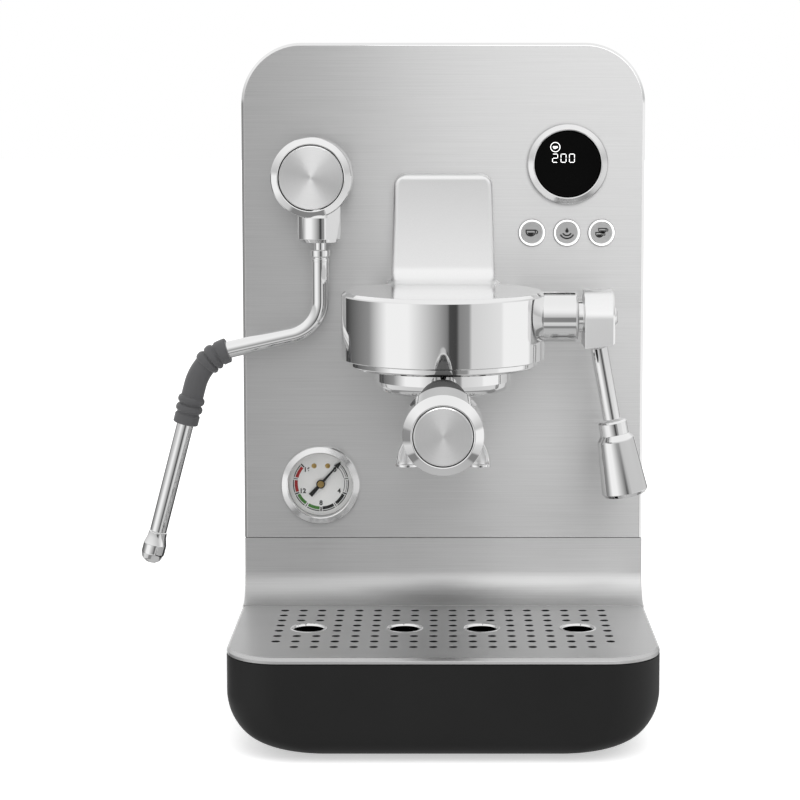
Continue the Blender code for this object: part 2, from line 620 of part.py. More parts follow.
def display():
    bezel = [(19.9, GAP), (19.9, 4.4), (21.0, 5.6), (22.6, 5.2), (24.1, 3.2), (24.1, GAP)]
    round_on_panel("display_bezel", bezel, DISPLAY_X, DISPLAY_Z, "chrome", 32, closed=True)
    glass = [(0, 3.4), (18.9, 3.4), (19.5, 2.8), (19.5, -12), (0, -12)]
    round_on_panel("display_module", glass, DISPLAY_X, DISPLAY_Z, "black_glass")


def buttons():
    ring = [(6.7, -6), (6.7, 1.5), (7.3, 2.1), (8.2, 1.3), (8.2, GAP), (7.4, GAP), (7.4, -6)]
    cap = [(0, 1.3), (5.9, 1.3), (6.4, 0.9), (6.4, -8), (0, -8)]
    for side, x in BUTTON_X.items():
        round_on_panel(f"button_ring_{side}", ring, x, BUTTON_Z, "lit_plastic", 20, closed=True)
        round_on_panel(f"button_{side}", cap, x, BUTTON_Z, "grey_plastic", 20)


# ---------------------------------------------------------------- drip tray


def tub_plan(inset, back):
    """The plan of the tray: round corners at its front."""
    side, front, corner = HALF_WIDTH - inset, TUB_FRONT + inset, TUB_CORNER - inset
    return rounded([(-side, back, 0), (-side, front, corner), (side, front, corner), (side, back, 0)], 8)


def drip_tray():
    pivot = empty("drip_tray_pivot", (0, 0, 30))
    tray = plate("drip_tray", [tub_plan(0, -GAP)], "XY", TUB_FOOT, TUB_TOP, "black_plastic", pivot)
    section = plate("tray_section", [tub_section(0, TUB_TOP + 10)], "XZ", -160, 20, parent=pivot, cutter=True)
    boolean(tray, section, "INTERSECT")
    toe = rounded([(20, 0, 0), (20, 80, 0), (TUB_FRONT - 0.4, 80, 0), (TUB_FRONT - 0.4, TUB_FOOT - 0.4, 11),
                   (20, TUB_FOOT - 0.4, 0)], 5)
    toe = [point for point in toe if point[:2] != (20, 0)]
    boolean(tray, plate("tray_toe", [toe], "YZ", -140, 140, parent=pivot, cutter=True), "INTERSECT")
    hollow = plate("tray_hollow", [tub_plan(TUB_WALL, -GAP - TUB_WALL)], "XY", 12.8, 70, parent=pivot, cutter=True)
    boolean(hollow, plate("hollow_section", [tub_section(TUB_WALL, 90)], "XZ", -160, 20, parent=pivot, cutter=True),
            "INTERSECT")
    boolean(tray, hollow)
    for side in (-1, 1):
        groove = block("groove_cutter", (side * 60 - 6.4, -114, 0), (side * 60 + 6.4, 10, 11.2), parent=pivot,
                       cutter=True)
        boolean(tray, groove)

    lift = empty("drip_grille_pivot", (0, -78, GRILLE_TOP), pivot)
    side, corner, back = HALF_WIDTH, TUB_CORNER, -SWEEP_RADIUS - GAP
    outline = rounded([(-side, back, 0), (-side, GRILLE_FRONT, corner), (side, GRILLE_FRONT, corner), (side, back, 0)], 8)
    drains = [circle(column * GRILLE_PITCH, GROUP_Y, DRAIN_RADIUS, 24) for column in DRAIN_COLUMNS]
    plate("drip_grille", [outline, *drains], "XY", TUB_TOP + GAP, GRILLE_TOP, "brushed_steel", lift)


clear_scene()
PARTS = new_collection("espresso_machine")
CUTTERS = new_collection("cutters", hidden=True)
machine = bpy.data.objects.new("machine", None)
PARTS.objects.link(machine)
machine.location = (MACHINE_X * MM, MACHINE_Y * MM, 0)

base_chassis()
feet()
casing_shell()
front_panel()
lower_splash_panel()
rear_cover()
cord_gland()
power_switch()
cup_warmer_tray()
water_tank()
inner_frame()
circuit()
group_housing()
group_head()
portafilter()
steam_lever()
steam_wand()
pressure_gauge()
display()
buttons()
drip_tray()
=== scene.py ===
"""Looks of an espresso machine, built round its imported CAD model."""

import json
import math

import bmesh
import bpy
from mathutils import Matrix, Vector
from mathutils.geometry import tessellate_polygon

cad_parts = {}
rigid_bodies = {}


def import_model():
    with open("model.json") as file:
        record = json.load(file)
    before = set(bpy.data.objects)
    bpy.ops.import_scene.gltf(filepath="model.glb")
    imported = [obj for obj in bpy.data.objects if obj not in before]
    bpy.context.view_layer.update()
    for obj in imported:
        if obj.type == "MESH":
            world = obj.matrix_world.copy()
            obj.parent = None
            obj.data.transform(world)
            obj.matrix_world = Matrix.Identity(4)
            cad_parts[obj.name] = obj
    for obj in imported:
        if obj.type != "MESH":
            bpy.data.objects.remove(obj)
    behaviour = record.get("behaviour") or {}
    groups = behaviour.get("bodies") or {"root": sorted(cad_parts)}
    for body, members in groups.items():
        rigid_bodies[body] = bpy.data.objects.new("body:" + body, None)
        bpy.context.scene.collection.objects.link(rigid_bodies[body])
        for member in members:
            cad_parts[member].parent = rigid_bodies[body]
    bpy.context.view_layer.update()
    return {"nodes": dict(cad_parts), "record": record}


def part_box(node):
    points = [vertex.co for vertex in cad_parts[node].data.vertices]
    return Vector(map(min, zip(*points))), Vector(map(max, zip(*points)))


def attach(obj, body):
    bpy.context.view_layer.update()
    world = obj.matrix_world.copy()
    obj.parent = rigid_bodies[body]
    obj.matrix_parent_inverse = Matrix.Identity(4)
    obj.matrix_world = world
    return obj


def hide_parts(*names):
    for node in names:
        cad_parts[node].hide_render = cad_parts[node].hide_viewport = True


for obj in list(bpy.data.objects):
    bpy.data.objects.remove(obj)

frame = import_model()

MM = 0.001

# The machine's own datum, in millimetres: x from its middle, y from the panel's face, z from the worktop.
panel_low, panel_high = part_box("front_panel")
DATUM = Vector(((panel_low.x + panel_high.x) / 2, panel_low.y, 0.0))
HALF_WIDTH = (panel_high.x - panel_low.x) / 2 / MM
TOP = panel_high.z / MM
SHEET = (panel_high.y - panel_low.y) / MM
GAP = 0.3

TOP_RADIUS = 36.0
SEAM = 96.0
TUB_TOP = 54.9
TUB_FOOT = 3.0
TUB_RADIUS = 31.0
TUB_WALL = 2.5
TUB_BACK = 284.0
TUB_FRONT = -139.5
TUB_CORNER = 30.0
SWEEP_RADIUS = 17.0
GRILLE_TOP = 58.5
GROUP_Y = -72.0
DRUM_RADIUS = 57.4
DRUM_TOP = 252.3
DRUM_BOTTOM = 214.2
HANDLE_Z = 195.8
HANDLE_DROOP = 0.62
HANDLE_START = 121.9
LEVER_Z = 237.5
ROD_TILT = 10.5
WAND_X = -72.3
WAND_Y = -21.0
BOSS_X, BOSS_Z = -76.8, 314.5
GAUGE_X, GAUGE_Z = -73.9, 128.7
DISPLAY_X, DISPLAY_Z = 73.9, 321.7
BUTTON_Z = 280.7
BUTTON_X = {"left": 52.9, "middle": 73.8, "right": 94.4}


# ---------------------------------------------------------------- materials


class Nodes:
    """A material's node tree, written in short calls."""

    def __init__(self, name, color, roughness, metallic=0.0, **sockets):
        self.material = bpy.data.materials.new(name)
        self.material.use_nodes = True
        self.tree = self.material.node_tree
        self.shader = self.tree.nodes["Principled BSDF"]
        self.shader.inputs["Base Color"].default_value = (*color, 1.0)
        self.shader.inputs["Roughness"].default_value = roughness
        self.shader.inputs["Metallic"].default_value = metallic
        for socket, value in sockets.items():
            self.shader.inputs[socket.replace("_", " ")].default_value = value

    def node(self, kind, links=(), **settings):
        made = self.tree.nodes.new("ShaderNode" + kind)
        for name, value in settings.items():
            setattr(made, name, value)
        for socket, value in dict(links).items():
            if isinstance(value, bpy.types.NodeSocket):
                self.tree.links.new(value, made.inputs[socket])
            else:
                made.inputs[socket].default_value = value
        return made

    def drive(self, socket, output):
        self.tree.links.new(output, self.shader.inputs[socket])

    def grain(self, scale, detail=3.0, rough=0.6):
        """Noise over the piece's own coordinates, stretched by a scale along each axis."""
        place = self.node("TexCoord").outputs["Object"]
        stretched = self.node("Mapping", {"Vector": place, "Scale": scale}).outputs["Vector"]
        links = {"Vector": stretched, "Scale": 1.0, "Detail": detail, "Roughness": rough}
        return self.node("TexNoise", links).outputs["Fac"]

    def rings(self, scale):
        """Noise that depends only on the distance from the piece's own Z axis, as turning marks do."""
        place = self.node("TexCoord").outputs["Object"]
        flat = self.node("VectorMath", {0: place, 1: (1, 1, 0)}, operation="MULTIPLY").outputs[0]
        radius = self.node("VectorMath", {0: flat}, operation="LENGTH").outputs["Value"]
        distance = self.node("Math", {0: radius, 1: scale}, operation="MULTIPLY").outputs[0]
        return self.node("TexNoise", {"W": distance, "Scale": 1.0, "Detail": 3.0}, noise_dimensions="1D").outputs["Fac"]

    def between(self, factor, low, high):
        """The factor's middle half spread from low to high."""
        links = {"Value": factor, "From Min": 0.25, "From Max": 0.75, "To Min": low, "To Max": high}
        return self.node("MapRange", links).outputs["Result"]

    def tint(self, factor, low, high):
        made = self.node("ValToRGB", {"Fac": factor})
        for stop, color in zip(made.color_ramp.elements, (low, high)):
            stop.color = (*color, 1.0)
        made.color_ramp.elements[0].position = 0.3
        made.color_ramp.elements[1].position = 0.7
        self.drive("Base Color", made.outputs["Color"])

    def bump(self, height, distance, strength=1.0):
        made = self.node("Bump", {"Height": height, "Distance": distance, "Strength": strength})
        self.drive("Normal", made.outputs["Normal"])

    def along(self, direction):
        """The brushing's direction, for the anisotropic gloss."""
        x, y, z = direction
        made = self.node("CombineXYZ", {"X": x, "Y": y, "Z": z})
        self.drive("Tangent", made.outputs["Vector"])

    def around(self, axis="Z"):
        made = self.node("Tangent", direction_type="RADIAL", axis=axis)
        self.drive("Tangent", made.outputs["Tangent"])


def grey(value):
    return (value, value, value)


def brushed(name, value, roughness, scale, spread=0.03):
    """Steel brushed along X: long fine scratches in tone, gloss and relief."""
    made = Nodes(name, grey(value), roughness, 1.0, Anisotropic=0.8, Anisotropic_Rotation=0.25)
    scratches = made.grain(scale)
    made.tint(scratches, grey(value - spread), grey(value + spread))
    made.drive("Roughness", made.between(scratches, roughness - 0.05, roughness + 0.06))
    made.bump(scratches, 0.00002, 0.5)
    made.along((1, 0, 0))
    return made.material


def spun(name, value, roughness):
    """Steel turned on a lathe: fine rings, whose gloss spreads across them in wedges."""
    made = Nodes(name, grey(value), roughness, 1.0, Anisotropic=0.85, Anisotropic_Rotation=0.25)
    marks = made.rings(3500.0)
    made.tint(marks, grey(value - 0.03), grey(value + 0.03))
    made.drive("Roughness", made.between(marks, roughness - 0.04, roughness + 0.05))
    made.bump(marks, 0.00001, 0.4)
    made.around()
    return made.material


def satin(name, value, roughness):
    """Bead-blasted steel: a soft even gloss."""
    made = Nodes(name, grey(value), roughness, 1.0)
    beads = made.grain((2500, 2500, 2500), 1.0)
    made.tint(beads, grey(value - 0.02), grey(value + 0.02))
    made.drive("Roughness", made.between(beads, roughness - 0.02, roughness + 0.02))
    return made.material


def polished(name, value, roughness):
    """Chrome with faint smears in its gloss."""
    made = Nodes(name, grey(value), roughness, 1.0)
    smears = made.grain((25, 25, 25), 4.0)
    made.drive("Roughness", made.between(smears, roughness * 0.8, roughness * 1.4))
    return made.material


def moulded(name, color, roughness, grain=1400.0, depth=0.00003, **sockets):
    """Plastic or rubber with a fine moulded grain and an uneven gloss."""
    made = Nodes(name, color, roughness, 0.0, **sockets)
    fine = made.grain((grain, grain, grain), 2.0)
    broad = made.grain((18, 18, 18), 3.0)
    made.tint(broad, [c * 0.9 for c in color], [c * 1.1 for c in color])
    made.drive("Roughness", made.between(broad, roughness - 0.05, roughness + 0.05))
    made.bump(fine, depth, 0.5)
    return made.material


def cast(name, color, roughness, metallic=1.0):
    made = Nodes(name, color, roughness, metallic)
    lumps = made.grain((220, 220, 220), 4.0)
    made.tint(lumps, [c * 0.85 for c in color], [c * 1.1 for c in color])
    made.bump(lumps, 0.0002, 0.4)
    return made.material


def glowing(name, color, strength):
    made = Nodes(name, color, 0.4, 0.0, Emission_Strength=strength)
    made.shader.inputs["Emission Color"].default_value = (*color, 1.0)
    soft = made.grain((60, 60, 60), 1.0)
    made.drive("Roughness", made.between(soft, 0.35, 0.45))
    return made.material


def clear(name, color, roughness, ior):
    made = Nodes(name, color, roughness, 0.0, IOR=ior, Transmission_Weight=1.0)
    haze = made.grain((40, 40, 40), 2.0)
    made.drive("Roughness", made.between(haze, roughness, roughness + 0.03))
    return made.material


def pane(name, alpha):
    """Thin clear glass that lets the light through to what lies behind it."""
    made = Nodes(name, grey(0.05), 0.02, 0.0, Alpha=alpha)
    haze = made.grain((40, 40, 40), 2.0)
    made.drive("Roughness", made.between(haze, 0.01, 0.04))
    return made.material


BRUSH = (14, 1500, 1500)
LOOKS = {
    "brushed_steel": brushed("steel_brushed", 0.55, 0.36, BRUSH),
    "chrome": polished("chrome_polished", 0.86, 0.045),
    "black_plastic": moulded("plastic_black", (0.007, 0.007, 0.007), 0.5, Specular_IOR_Level=0.3),
    "black_paint": moulded("paint_black", (0.010, 0.010, 0.011), 0.42, 900.0, 0.00005),
    "grey_rubber": moulded("silicone_grey", (0.065, 0.065, 0.068), 0.55, 1800.0, 0.00004, Sheen_Weight=0.2),
    "black_rubber": moulded("rubber_black", (0.012, 0.012, 0.012), 0.75, 1200.0),
    "smoked_plastic": clear("plastic_smoked", (0.35, 0.37, 0.39), 0.08, 1.49),
    "black_glass": moulded("glass_black", (0.002, 0.002, 0.002), 0.06, 60.0, 0.0, Specular_IOR_Level=0.1),
    "clear_glass": pane("glass_clear", 0.06),
    "white_enamel": moulded("enamel_white", (0.86, 0.86, 0.85), 0.5, 700.0, 0.00001),
    "lit_plastic": glowing("plastic_lit", (0.8, 0.8, 0.8), 0.7),
    "grey_plastic": moulded("plastic_grey", (0.36, 0.36, 0.36), 0.4),
    "dark_metal": cast("metal_dark", (0.05, 0.05, 0.05), 0.3),
    "aluminium": cast("aluminium_cast", (0.6, 0.6, 0.61), 0.45),
    "brass": cast("brass_drawn", (0.62, 0.43, 0.16), 0.3),
    "board_green": cast("board_green", (0.02, 0.14, 0.05), 0.5, 0.0),
    "white_hose": moulded("hose_white", (0.65, 0.65, 0.63), 0.5),
    "spun": spun("steel_spun", 0.90, 0.34),
    "satin": satin("steel_satin", 0.92, 0.30),
    "rim_steel": satin("steel_rim", 0.55, 0.25),
    "soft_chrome": polished("chrome_soft", 0.84, 0.15),
    # Black for print, and also painted shade: the thin rings that stand in for the shade in the grooves round the two
    # spun caps, and the walls of the grille's holes.
    "ink": moulded("black_print_and_shade", (0.01, 0.01, 0.01), 0.5, 900.0, 0.00001),
    "ink_green": moulded("ink_green", (0.06, 0.24, 0.035), 0.5, 900.0, 0.00001),
    "ink_red": moulded("ink_red", (0.42, 0.008, 0.008), 0.5, 900.0, 0.00001),
    "ink_grey": moulded("ink_grey", (0.10, 0.10, 0.10), 0.5, 900.0, 0.00001),
    "screen_light": glowing("screen_light", (1.0, 1.0, 1.0), 1.0),
}

for record_slot in frame["record"]["materials"]:
    for node_name in record_slot.get("nodes", []):
        if node_name in frame["nodes"]:
            carried = frame["nodes"][node_name].data.materials
            carried.clear()
            carried.append(LOOKS[record_slot["slot"]])


# ---------------------------------------------------------------- shapes


def spot(x, y, z):
    """A point of the machine's datum as a point of the row frame."""
    return DATUM + Vector((x, y, z)) * MM


def show(name, shape, looks, body, stands_for=(), place=None, turn=(0, 0, 0), sharp=32.0):
    """A finished piece: its mesh, its materials, and the CAD body it rides on."""
    bmesh.ops.remove_doubles(shape, verts=shape.verts, dist=0.000002)
    bmesh.ops.recalc_face_normals(shape, faces=shape.faces)
    mesh = bpy.data.meshes.new(name)
    shape.to_mesh(mesh)
    shape.free()
    for look in [looks] if isinstance(looks, str) else looks:
        mesh.materials.append(LOOKS[look])
    mesh.shade_smooth()
    mesh.set_sharp_from_angle(angle=math.radians(sharp))
    made = bpy.data.objects.new(name, mesh)
    bpy.context.scene.collection.objects.link(made)
    if place is not None:
        made.location = place
    made.rotation_euler = [math.radians(angle) for angle in turn]
    evening = made.modifiers.new("even_normals", "WEIGHTED_NORMAL")
    evening.keep_sharp = True
    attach(made, body)
    if stands_for:
        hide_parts(*stands_for)
    return made


def skin(shape, rings, cap_start=True, cap_end=True, closed=False, look=0):
    """Faces between rings of points, each a list of vectors or a single one where they meet."""
    made = [[shape.verts.new(point) for point in ring] for ring in rings]
    pairs = list(zip(made, made[1:])) + ([(made[-1], made[0])] if closed else [])
    for one, two in pairs:
        count = max(len(one), len(two))
        for index in range(count):
            following = (index + 1) % count
            corners = [one[index % len(one)], one[following % len(one)],
                       two[following % len(two)], two[index % len(two)]]
            corners = list(dict.fromkeys(corners))
            if len(corners) > 2:
                shape.faces.new(corners).material_index = look
    for wanted, ring in ((cap_start, made[0]), (cap_end, made[-1])):
        if wanted and len(ring) > 2 and not closed:
            shape.faces.new(ring)
    return made


def fillet(before, corner, after, radius, steps):
    """Points of the arc that rounds a corner between two others."""
    before, corner, after = Vector(before), Vector(corner), Vector(after)
    back = (before - corner).normalized()
    ahead = (after - corner).normalized()
    half = back.angle(ahead) / 2
    centre = corner + (back + ahead).normalized() * radius / math.sin(half)
    first = (corner + back * radius / math.tan(half) - centre).normalized()
    last = (corner + ahead * radius / math.tan(half) - centre).normalized()
    return [centre + radius * first.slerp(last, step / steps) for step in range(steps + 1)]


def rounded(corners, steps=8, cyclic=True):
    """A line through (x, y, radius) or (x, y, z, radius) corners, rounded at each."""
    places = [Vector((*corner[:-1], 0.0)[:3]) for corner in corners]
    points = []
    for index, corner in enumerate(corners):
        if not corner[-1] or (not cyclic and index in (0, len(corners) - 1)):
            points.append(places[index])
            continue
        following = places[(index + 1) % len(places)]
        points += fillet(places[index - 1], places[index], following, corner[-1], steps)
    return points


def soften(profile, radius=0.35, closed=False):
    """A profile whose corners are rounded a little, so that its edges catch the light."""
    line = [Vector((*point[:2], 0.0)) for point in profile]
    result = []
    for index, point in enumerate(line):
        last = index == len(line) - 1
        if (not closed and index in (0, len(line) - 1)) or (point.x < 1e-6):
            result.append(point)
            continue
        before, after = line[index - 1], line[0] if last else line[index + 1]
        bend = (before - point).angle(point - after) if (before - point).length > 1e-6 else 0.0
        if bend < math.radians(12):
            result.append(point)
            continue
        wanted = profile[index][2] if len(profile[index]) > 2 else radius
        if not wanted:
            result.append(point)
            continue
        reach = min((before - point).length, (after - point).length) * 0.45
        result += fillet(before, point, after, min(wanted, reach / math.tan(bend / 2)), 4)
    return [(point.x, point.y) for point in result]


def circle(x, y, radius, steps=48):
    turns = [math.tau * step / steps for step in range(steps)]
    return [Vector((x + radius * math.cos(turn), y + radius * math.sin(turn), 0)) for turn in turns]


def inset(points, distance):
    """A closed outline moved inwards, or outwards when the distance is negative."""
    count = len(points)
    area = sum(points[i].x * points[(i + 1) % count].y - points[(i + 1) % count].x * points[i].y for i in range(count))
    inward = 1.0 if area > 0 else -1.0
    moved = []
    for index in range(count):
        before, here, after = points[index - 1], points[index], points[(index + 1) % count]
        one, two = (here - before).normalized(), (after - here).normalized()
        first, second = Vector((-one.y, one.x, 0)), Vector((-two.y, two.x, 0))
        moved.append(here + (first + second) * inward * distance / (1 + first.dot(second)))
    return moved


PLANES = {
    "XY": lambda u, v, w: spot(u, v, w),
    "XZ": lambda u, v, w: spot(u, w, v),
    "YZ": lambda u, v, w: spot(w, u, v),
}


def rim(width, steps=3):
    """The (inset, depth) steps of a rounded edge."""
    turns = [math.pi / 2 * step / steps for step in range(steps + 1)]
    return [(width * (1 - math.sin(turn)), width * (1 - math.cos(turn))) for turn in turns]


def slab(shape, outlines, plane, start, end, edge=0.4, back_edge=None, edge_look=0, hole_edge=None, hole_look=0):
    """Outlines in a plane, the first round the outside and the rest round its holes, given a thickness
    from start to end. edge is its rounded edge's width, or its own (inset, depth) steps."""
    steps = rim(edge) if isinstance(edge, (int, float)) else edge
    hole_steps = steps if hole_edge is None else rim(hole_edge)
    back_width = back_edge if back_edge is not None else (edge if isinstance(edge, (int, float)) else 0.2)
    way = 1 if end > start else -1
    to_point = PLANES[plane]
    caps = ([], [])
    for index, outline in enumerate(outlines):
        outline = [Vector((point[0], point[1], 0)) for point in outline]
        sign = 1 if index == 0 else -1
        levels = [(width, start + way * depth) for width, depth in (hole_steps if index else steps)]
        levels += [(width, end - way * depth) for width, depth in reversed(rim(back_width))]
        rings = []
        for width, depth in levels:
            rings.append([to_point(p.x, p.y, depth) for p in inset(outline, sign * width)])
        made = [[shape.verts.new(point) for point in ring] for ring in rings]
        front_levels = len(hole_steps if index else steps)
        for level, (one, two) in enumerate(zip(made, made[1:])):
            for i in range(len(one)):
                j = (i + 1) % len(one)
                face = shape.faces.new([one[i], one[j], two[j], two[i]])
                if index == 0 and level < front_levels - 1:
                    face.material_index = edge_look
                elif index and level >= front_levels - 1:
                    face.material_index = hole_look
        for side, ring, (width, _) in ((0, made[0], levels[0]), (1, made[-1], levels[-1])):
            caps[side].append((ring, inset(outline, sign * width)))
    for cap in caps:
        loops = [flat for _, flat in cap]
        verts = [vert for ring, _ in cap for vert in ring]
        if len(cap) == 1:
            shape.faces.new(verts)
            continue
        for triangle in tessellate_polygon(loops):
            corners = [verts[i] for i in triangle]
            if len(set(corners)) == 3:
                try:
                    shape.faces.new(corners)
                except ValueError:
                    pass


TURNS = {"Z": (0, 0, 0), "-Z": (180, 0, 0), "-Y": (90, 0, 0), "Y": (-90, 0, 0), "X": (0, 90, 0)}


def turned(name, profile, centre, axis, looks, body, slot, stands_for=(), steps=96, closed=False, soft=0.35,
           bands=None, adjust=None, sharp=32.0):
    """A profile of (radius, height) points turned about an axis through centre. bands gives the look of
    a stretch of the profile by its heights or radii, and adjust moves points once they are in place."""
    shape = bmesh.new()
    line = soften(profile, soft, closed)
    rings = []
    for radius, height in line:
        if radius < 1e-6:
            rings.append([Vector((0, 0, height * MM))])
        else:
            rings.append([Vector((p.x, p.y, height)) * MM for p in circle(0, 0, radius, steps)])
    skin(shape, rings, cap_start=False, cap_end=False, closed=closed)
    if bands:
        for face in shape.faces:
            middle = face.calc_center_median() / MM
            face.material_index = bands(math.hypot(middle.x, middle.y), middle.z)
    if adjust:
        for vert in shape.verts:
            vert.co = Vector(adjust(*(vert.co / MM))) * MM
    turn = TURNS[axis] if isinstance(axis, str) else axis
    return show(name, shape, looks, body, stands_for, spot(*centre), turn, sharp)


def on_panel(name, profile, x, z, looks, body, slot, stands_for=(), **more):
    """A turned piece whose heights are measured out from the panel's face."""
    return turned(name, profile, (x, 0, z), "-Y", looks, body, slot, stands_for, **more)


def stretch(path, start, end, count):
    """Evenly spaced points of a path between two distances along it, with the ends."""
    marks = [0.0]
    for before, after in zip(path, path[1:]):
        marks.append(marks[-1] + (after - before).length)
    points = []
    for step in range(count):
        distance = start + (end - start) * step / (count - 1)
        index = max(i for i, mark in enumerate(marks[:-1]) if mark <= distance)
        share = (distance - marks[index]) / (marks[index + 1] - marks[index])
        points.append(path[index].lerp(path[index + 1], share))
    return points


def sweep(shape, path, sections, side, cap=True):
    """A section, or one for each point, swept along a flat path. side is the way out of the path's plane."""
    path = [Vector(point) for point in path]
    side = Vector(side)
    rings = []
    for index, point in enumerate(path):
        ahead = path[min(index + 1, len(path) - 1)] - path[max(index - 1, 0)]
        across = ahead.normalized().cross(side)
        section = sections[index] if isinstance(sections[0], list) else sections
        rings.append([spot(*(point + across * p.x + side * p.y)) for p in section])
    skin(shape, rings, cap, cap)


def words(name, text, size, place, look, body, turn=(90, 0, 0), depth=0.05):
    """A number as raised bold lettering."""
    curve = bpy.data.curves.new(name, "FONT")
    curve.body = text
    curve.size = size * MM
    curve.extrude = depth * MM
    curve.offset = 0.035 * size * MM
    curve.align_x, curve.align_y = "CENTER", "CENTER"
    source = bpy.data.objects.new(name + "_text", curve)
    bpy.context.scene.collection.objects.link(source)
    graph = bpy.context.evaluated_depsgraph_get()
    mesh = bpy.data.meshes.new_from_object(source.evaluated_get(graph))
    bpy.data.objects.remove(source)
    shape = bmesh.new()
    shape.from_mesh(mesh)
    bpy.data.meshes.remove(mesh)
    return show(name, shape, look, body, place=spot(*place), turn=turn)


def cut(obj, boxes):
    """Cuts rounded prisms out of a piece, each (outline, plane, start, end)."""
    for outline, plane, start, end in boxes:
        shape = bmesh.new()
        slab(shape, [outline], plane, start, end, edge=0.01)
        bmesh.ops.recalc_face_normals(shape, faces=shape.faces)
        mesh = bpy.data.meshes.new("cutter")
        shape.to_mesh(mesh)
        shape.free()
        cutter = bpy.data.objects.new("cutter", mesh)
        bpy.context.scene.collection.objects.link(cutter)
        step = obj.modifiers.new("cut", "BOOLEAN")
        step.object = cutter
        step.solver = "EXACT"
        obj.modifiers.move(len(obj.modifiers) - 1, 0)
        bpy.context.view_layer.update()
        graph = bpy.context.evaluated_depsgraph_get()
        for other in obj.modifiers:
            other.show_viewport = other.type == "BOOLEAN"
        graph.update()
        result = bpy.data.meshes.new_from_object(obj.evaluated_get(graph))
        obj.modifiers.remove(step)
        for other in obj.modifiers:
            other.show_viewport = True
        result.name = obj.data.name + "_cut"
        obj.data = result
        bpy.data.objects.remove(cutter)
        obj.data.set_sharp_from_angle(angle=math.radians(32))


def box_outline(x0, y0, x1, y1, radius=1.0, steps=4):
    return rounded([(x0, y0, radius), (x1, y0, radius), (x1, y1, radius), (x0, y1, radius)], steps)


# ---------------------------------------------------------------- body


def arch(inset_by, foot, top=TOP, steps=20):
    """The front outline of the body: a box with two round upper corners."""
    side, radius = HALF_WIDTH - inset_by, TOP_RADIUS - inset_by
    return rounded([(-side, foot, 0), (side, foot, 0), (side, top - inset_by, radius),
                    (-side, top - inset_by, radius)], steps)


def tub_section(inset_by, top):
    side, foot, radius = HALF_WIDTH - inset_by, TUB_FOOT + inset_by, TUB_RADIUS - inset_by
    return rounded([(-side, top, 0), (-side, foot, radius), (side, foot, radius), (side, top, 0)], 16)


def front_panel():
    shape = bmesh.new()
    holes = [circle(BUTTON_X[side], BUTTON_Z, 7.7) for side in BUTTON_X]
    holes += [circle(GAUGE_X, GAUGE_Z, 22.5, 64), circle(DISPLAY_X, DISPLAY_Z, 21.0, 64)]
    chamfer = [(1.7, 0.0), (1.5, 0.05), (0.25, 1.2), (0.0, 1.6)]
    slab(shape, [arch(0, SEAM + 0.2), *holes], "XZ", 0, SHEET, chamfer, 0.1, 1, hole_edge=0.3)
    foot = spot(0, 0, SEAM + 0.2).z
    for vert in shape.verts:
        if vert.co.z < foot + 2 * MM:
            vert.co.z = foot
    show("panel", shape, ["brushed_steel", "chrome"], "root", ["front_panel"], sharp=20)


def splash_panel():
    """The sheet below the seam, which sweeps forward into the plane of the grille."""
    thickness = 2.0
    middle = Vector((-SWEEP_RADIUS, GRILLE_TOP + SWEEP_RADIUS, 0))
    turns = [math.pi / 2 * step / 24 for step in range(25)]
    front = [middle + SWEEP_RADIUS * Vector((math.cos(t), -math.sin(t), 0)) for t in turns]
    back = [middle + (SWEEP_RADIUS + thickness) * Vector((math.cos(t), -math.sin(t), 0)) for t in turns]
    outline = [Vector((0, SEAM - 0.2, 0)), *front, *reversed(back), Vector((thickness, SEAM - 0.2, 0))]
    shape = bmesh.new()
    slab(shape, [outline], "YZ", -HALF_WIDTH, HALF_WIDTH, 0.5, edge_look=1)
    show("splash_panel", shape, ["brushed_steel", "chrome"], "root", ["lower_splash_panel"])


def casing():
    foot = TUB_TOP + GAP
    outer, inner = arch(GAP, foot), arch(GAP + 2, foot)
    outline = [outer[1], *outer[2:], outer[0], inner[0], *reversed(inner[2:]), inner[1]]
    low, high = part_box("casing_shell")
    start, end = (low.y - DATUM.y) / MM, (high.y - DATUM.y) / MM
    shape = bmesh.new()
    slab(shape, [outline], "XZ", start, end, 0.3)
    made = show("casing", shape, "black_paint", "root", ["casing_shell"])
    mouths = [(box_outline(-80, 16, 80, 184, 3), "XY", TOP - 12, TOP + 8),
              (box_outline(-80, 196, 80, 276, 3), "XY", TOP - 12, TOP + 8)]
    cut(made, mouths)


def base():
    shape = bmesh.new()
    slab(shape, [tub_section(0, TUB_TOP)], "XZ", GAP, TUB_BACK, 0.3, 3.0)
    show("base", shape, "black_plastic", "root", ["base_chassis"])
    for side, x in (("left", -60), ("right", 60)):
        shape = bmesh.new()
        slab(shape, [box_outline(x - 5.8, 6.5, x + 5.8, 10.8, 0.8)], "XZ", -112, 2, 0.8)
        show(f"tray_runner_{side}", shape, "black_plastic", "root")
    profile = [(0, 2.7), (10.2, 2.7), (11, 2.2), (11, 0.7), (10.3, 0), (4, 0), (3.4, 0.5), (0, 0.5)]
    for side, x in (("left", -72), ("right", 72)):
        for end, y in (("front", 22), ("rear", 262)):
            turned(f"foot_{end}_{side}_rubber", profile, (x, y, 0), "Z", "black_rubber", "root", "black_rubber",
                   [f"foot_{end}_{side}"], 48)


def tub_plan(side, front, corner, back=-GAP):
    return rounded([(-side, back, 0), (-side, front, corner), (side, front, corner), (side, back, 0)], 14)


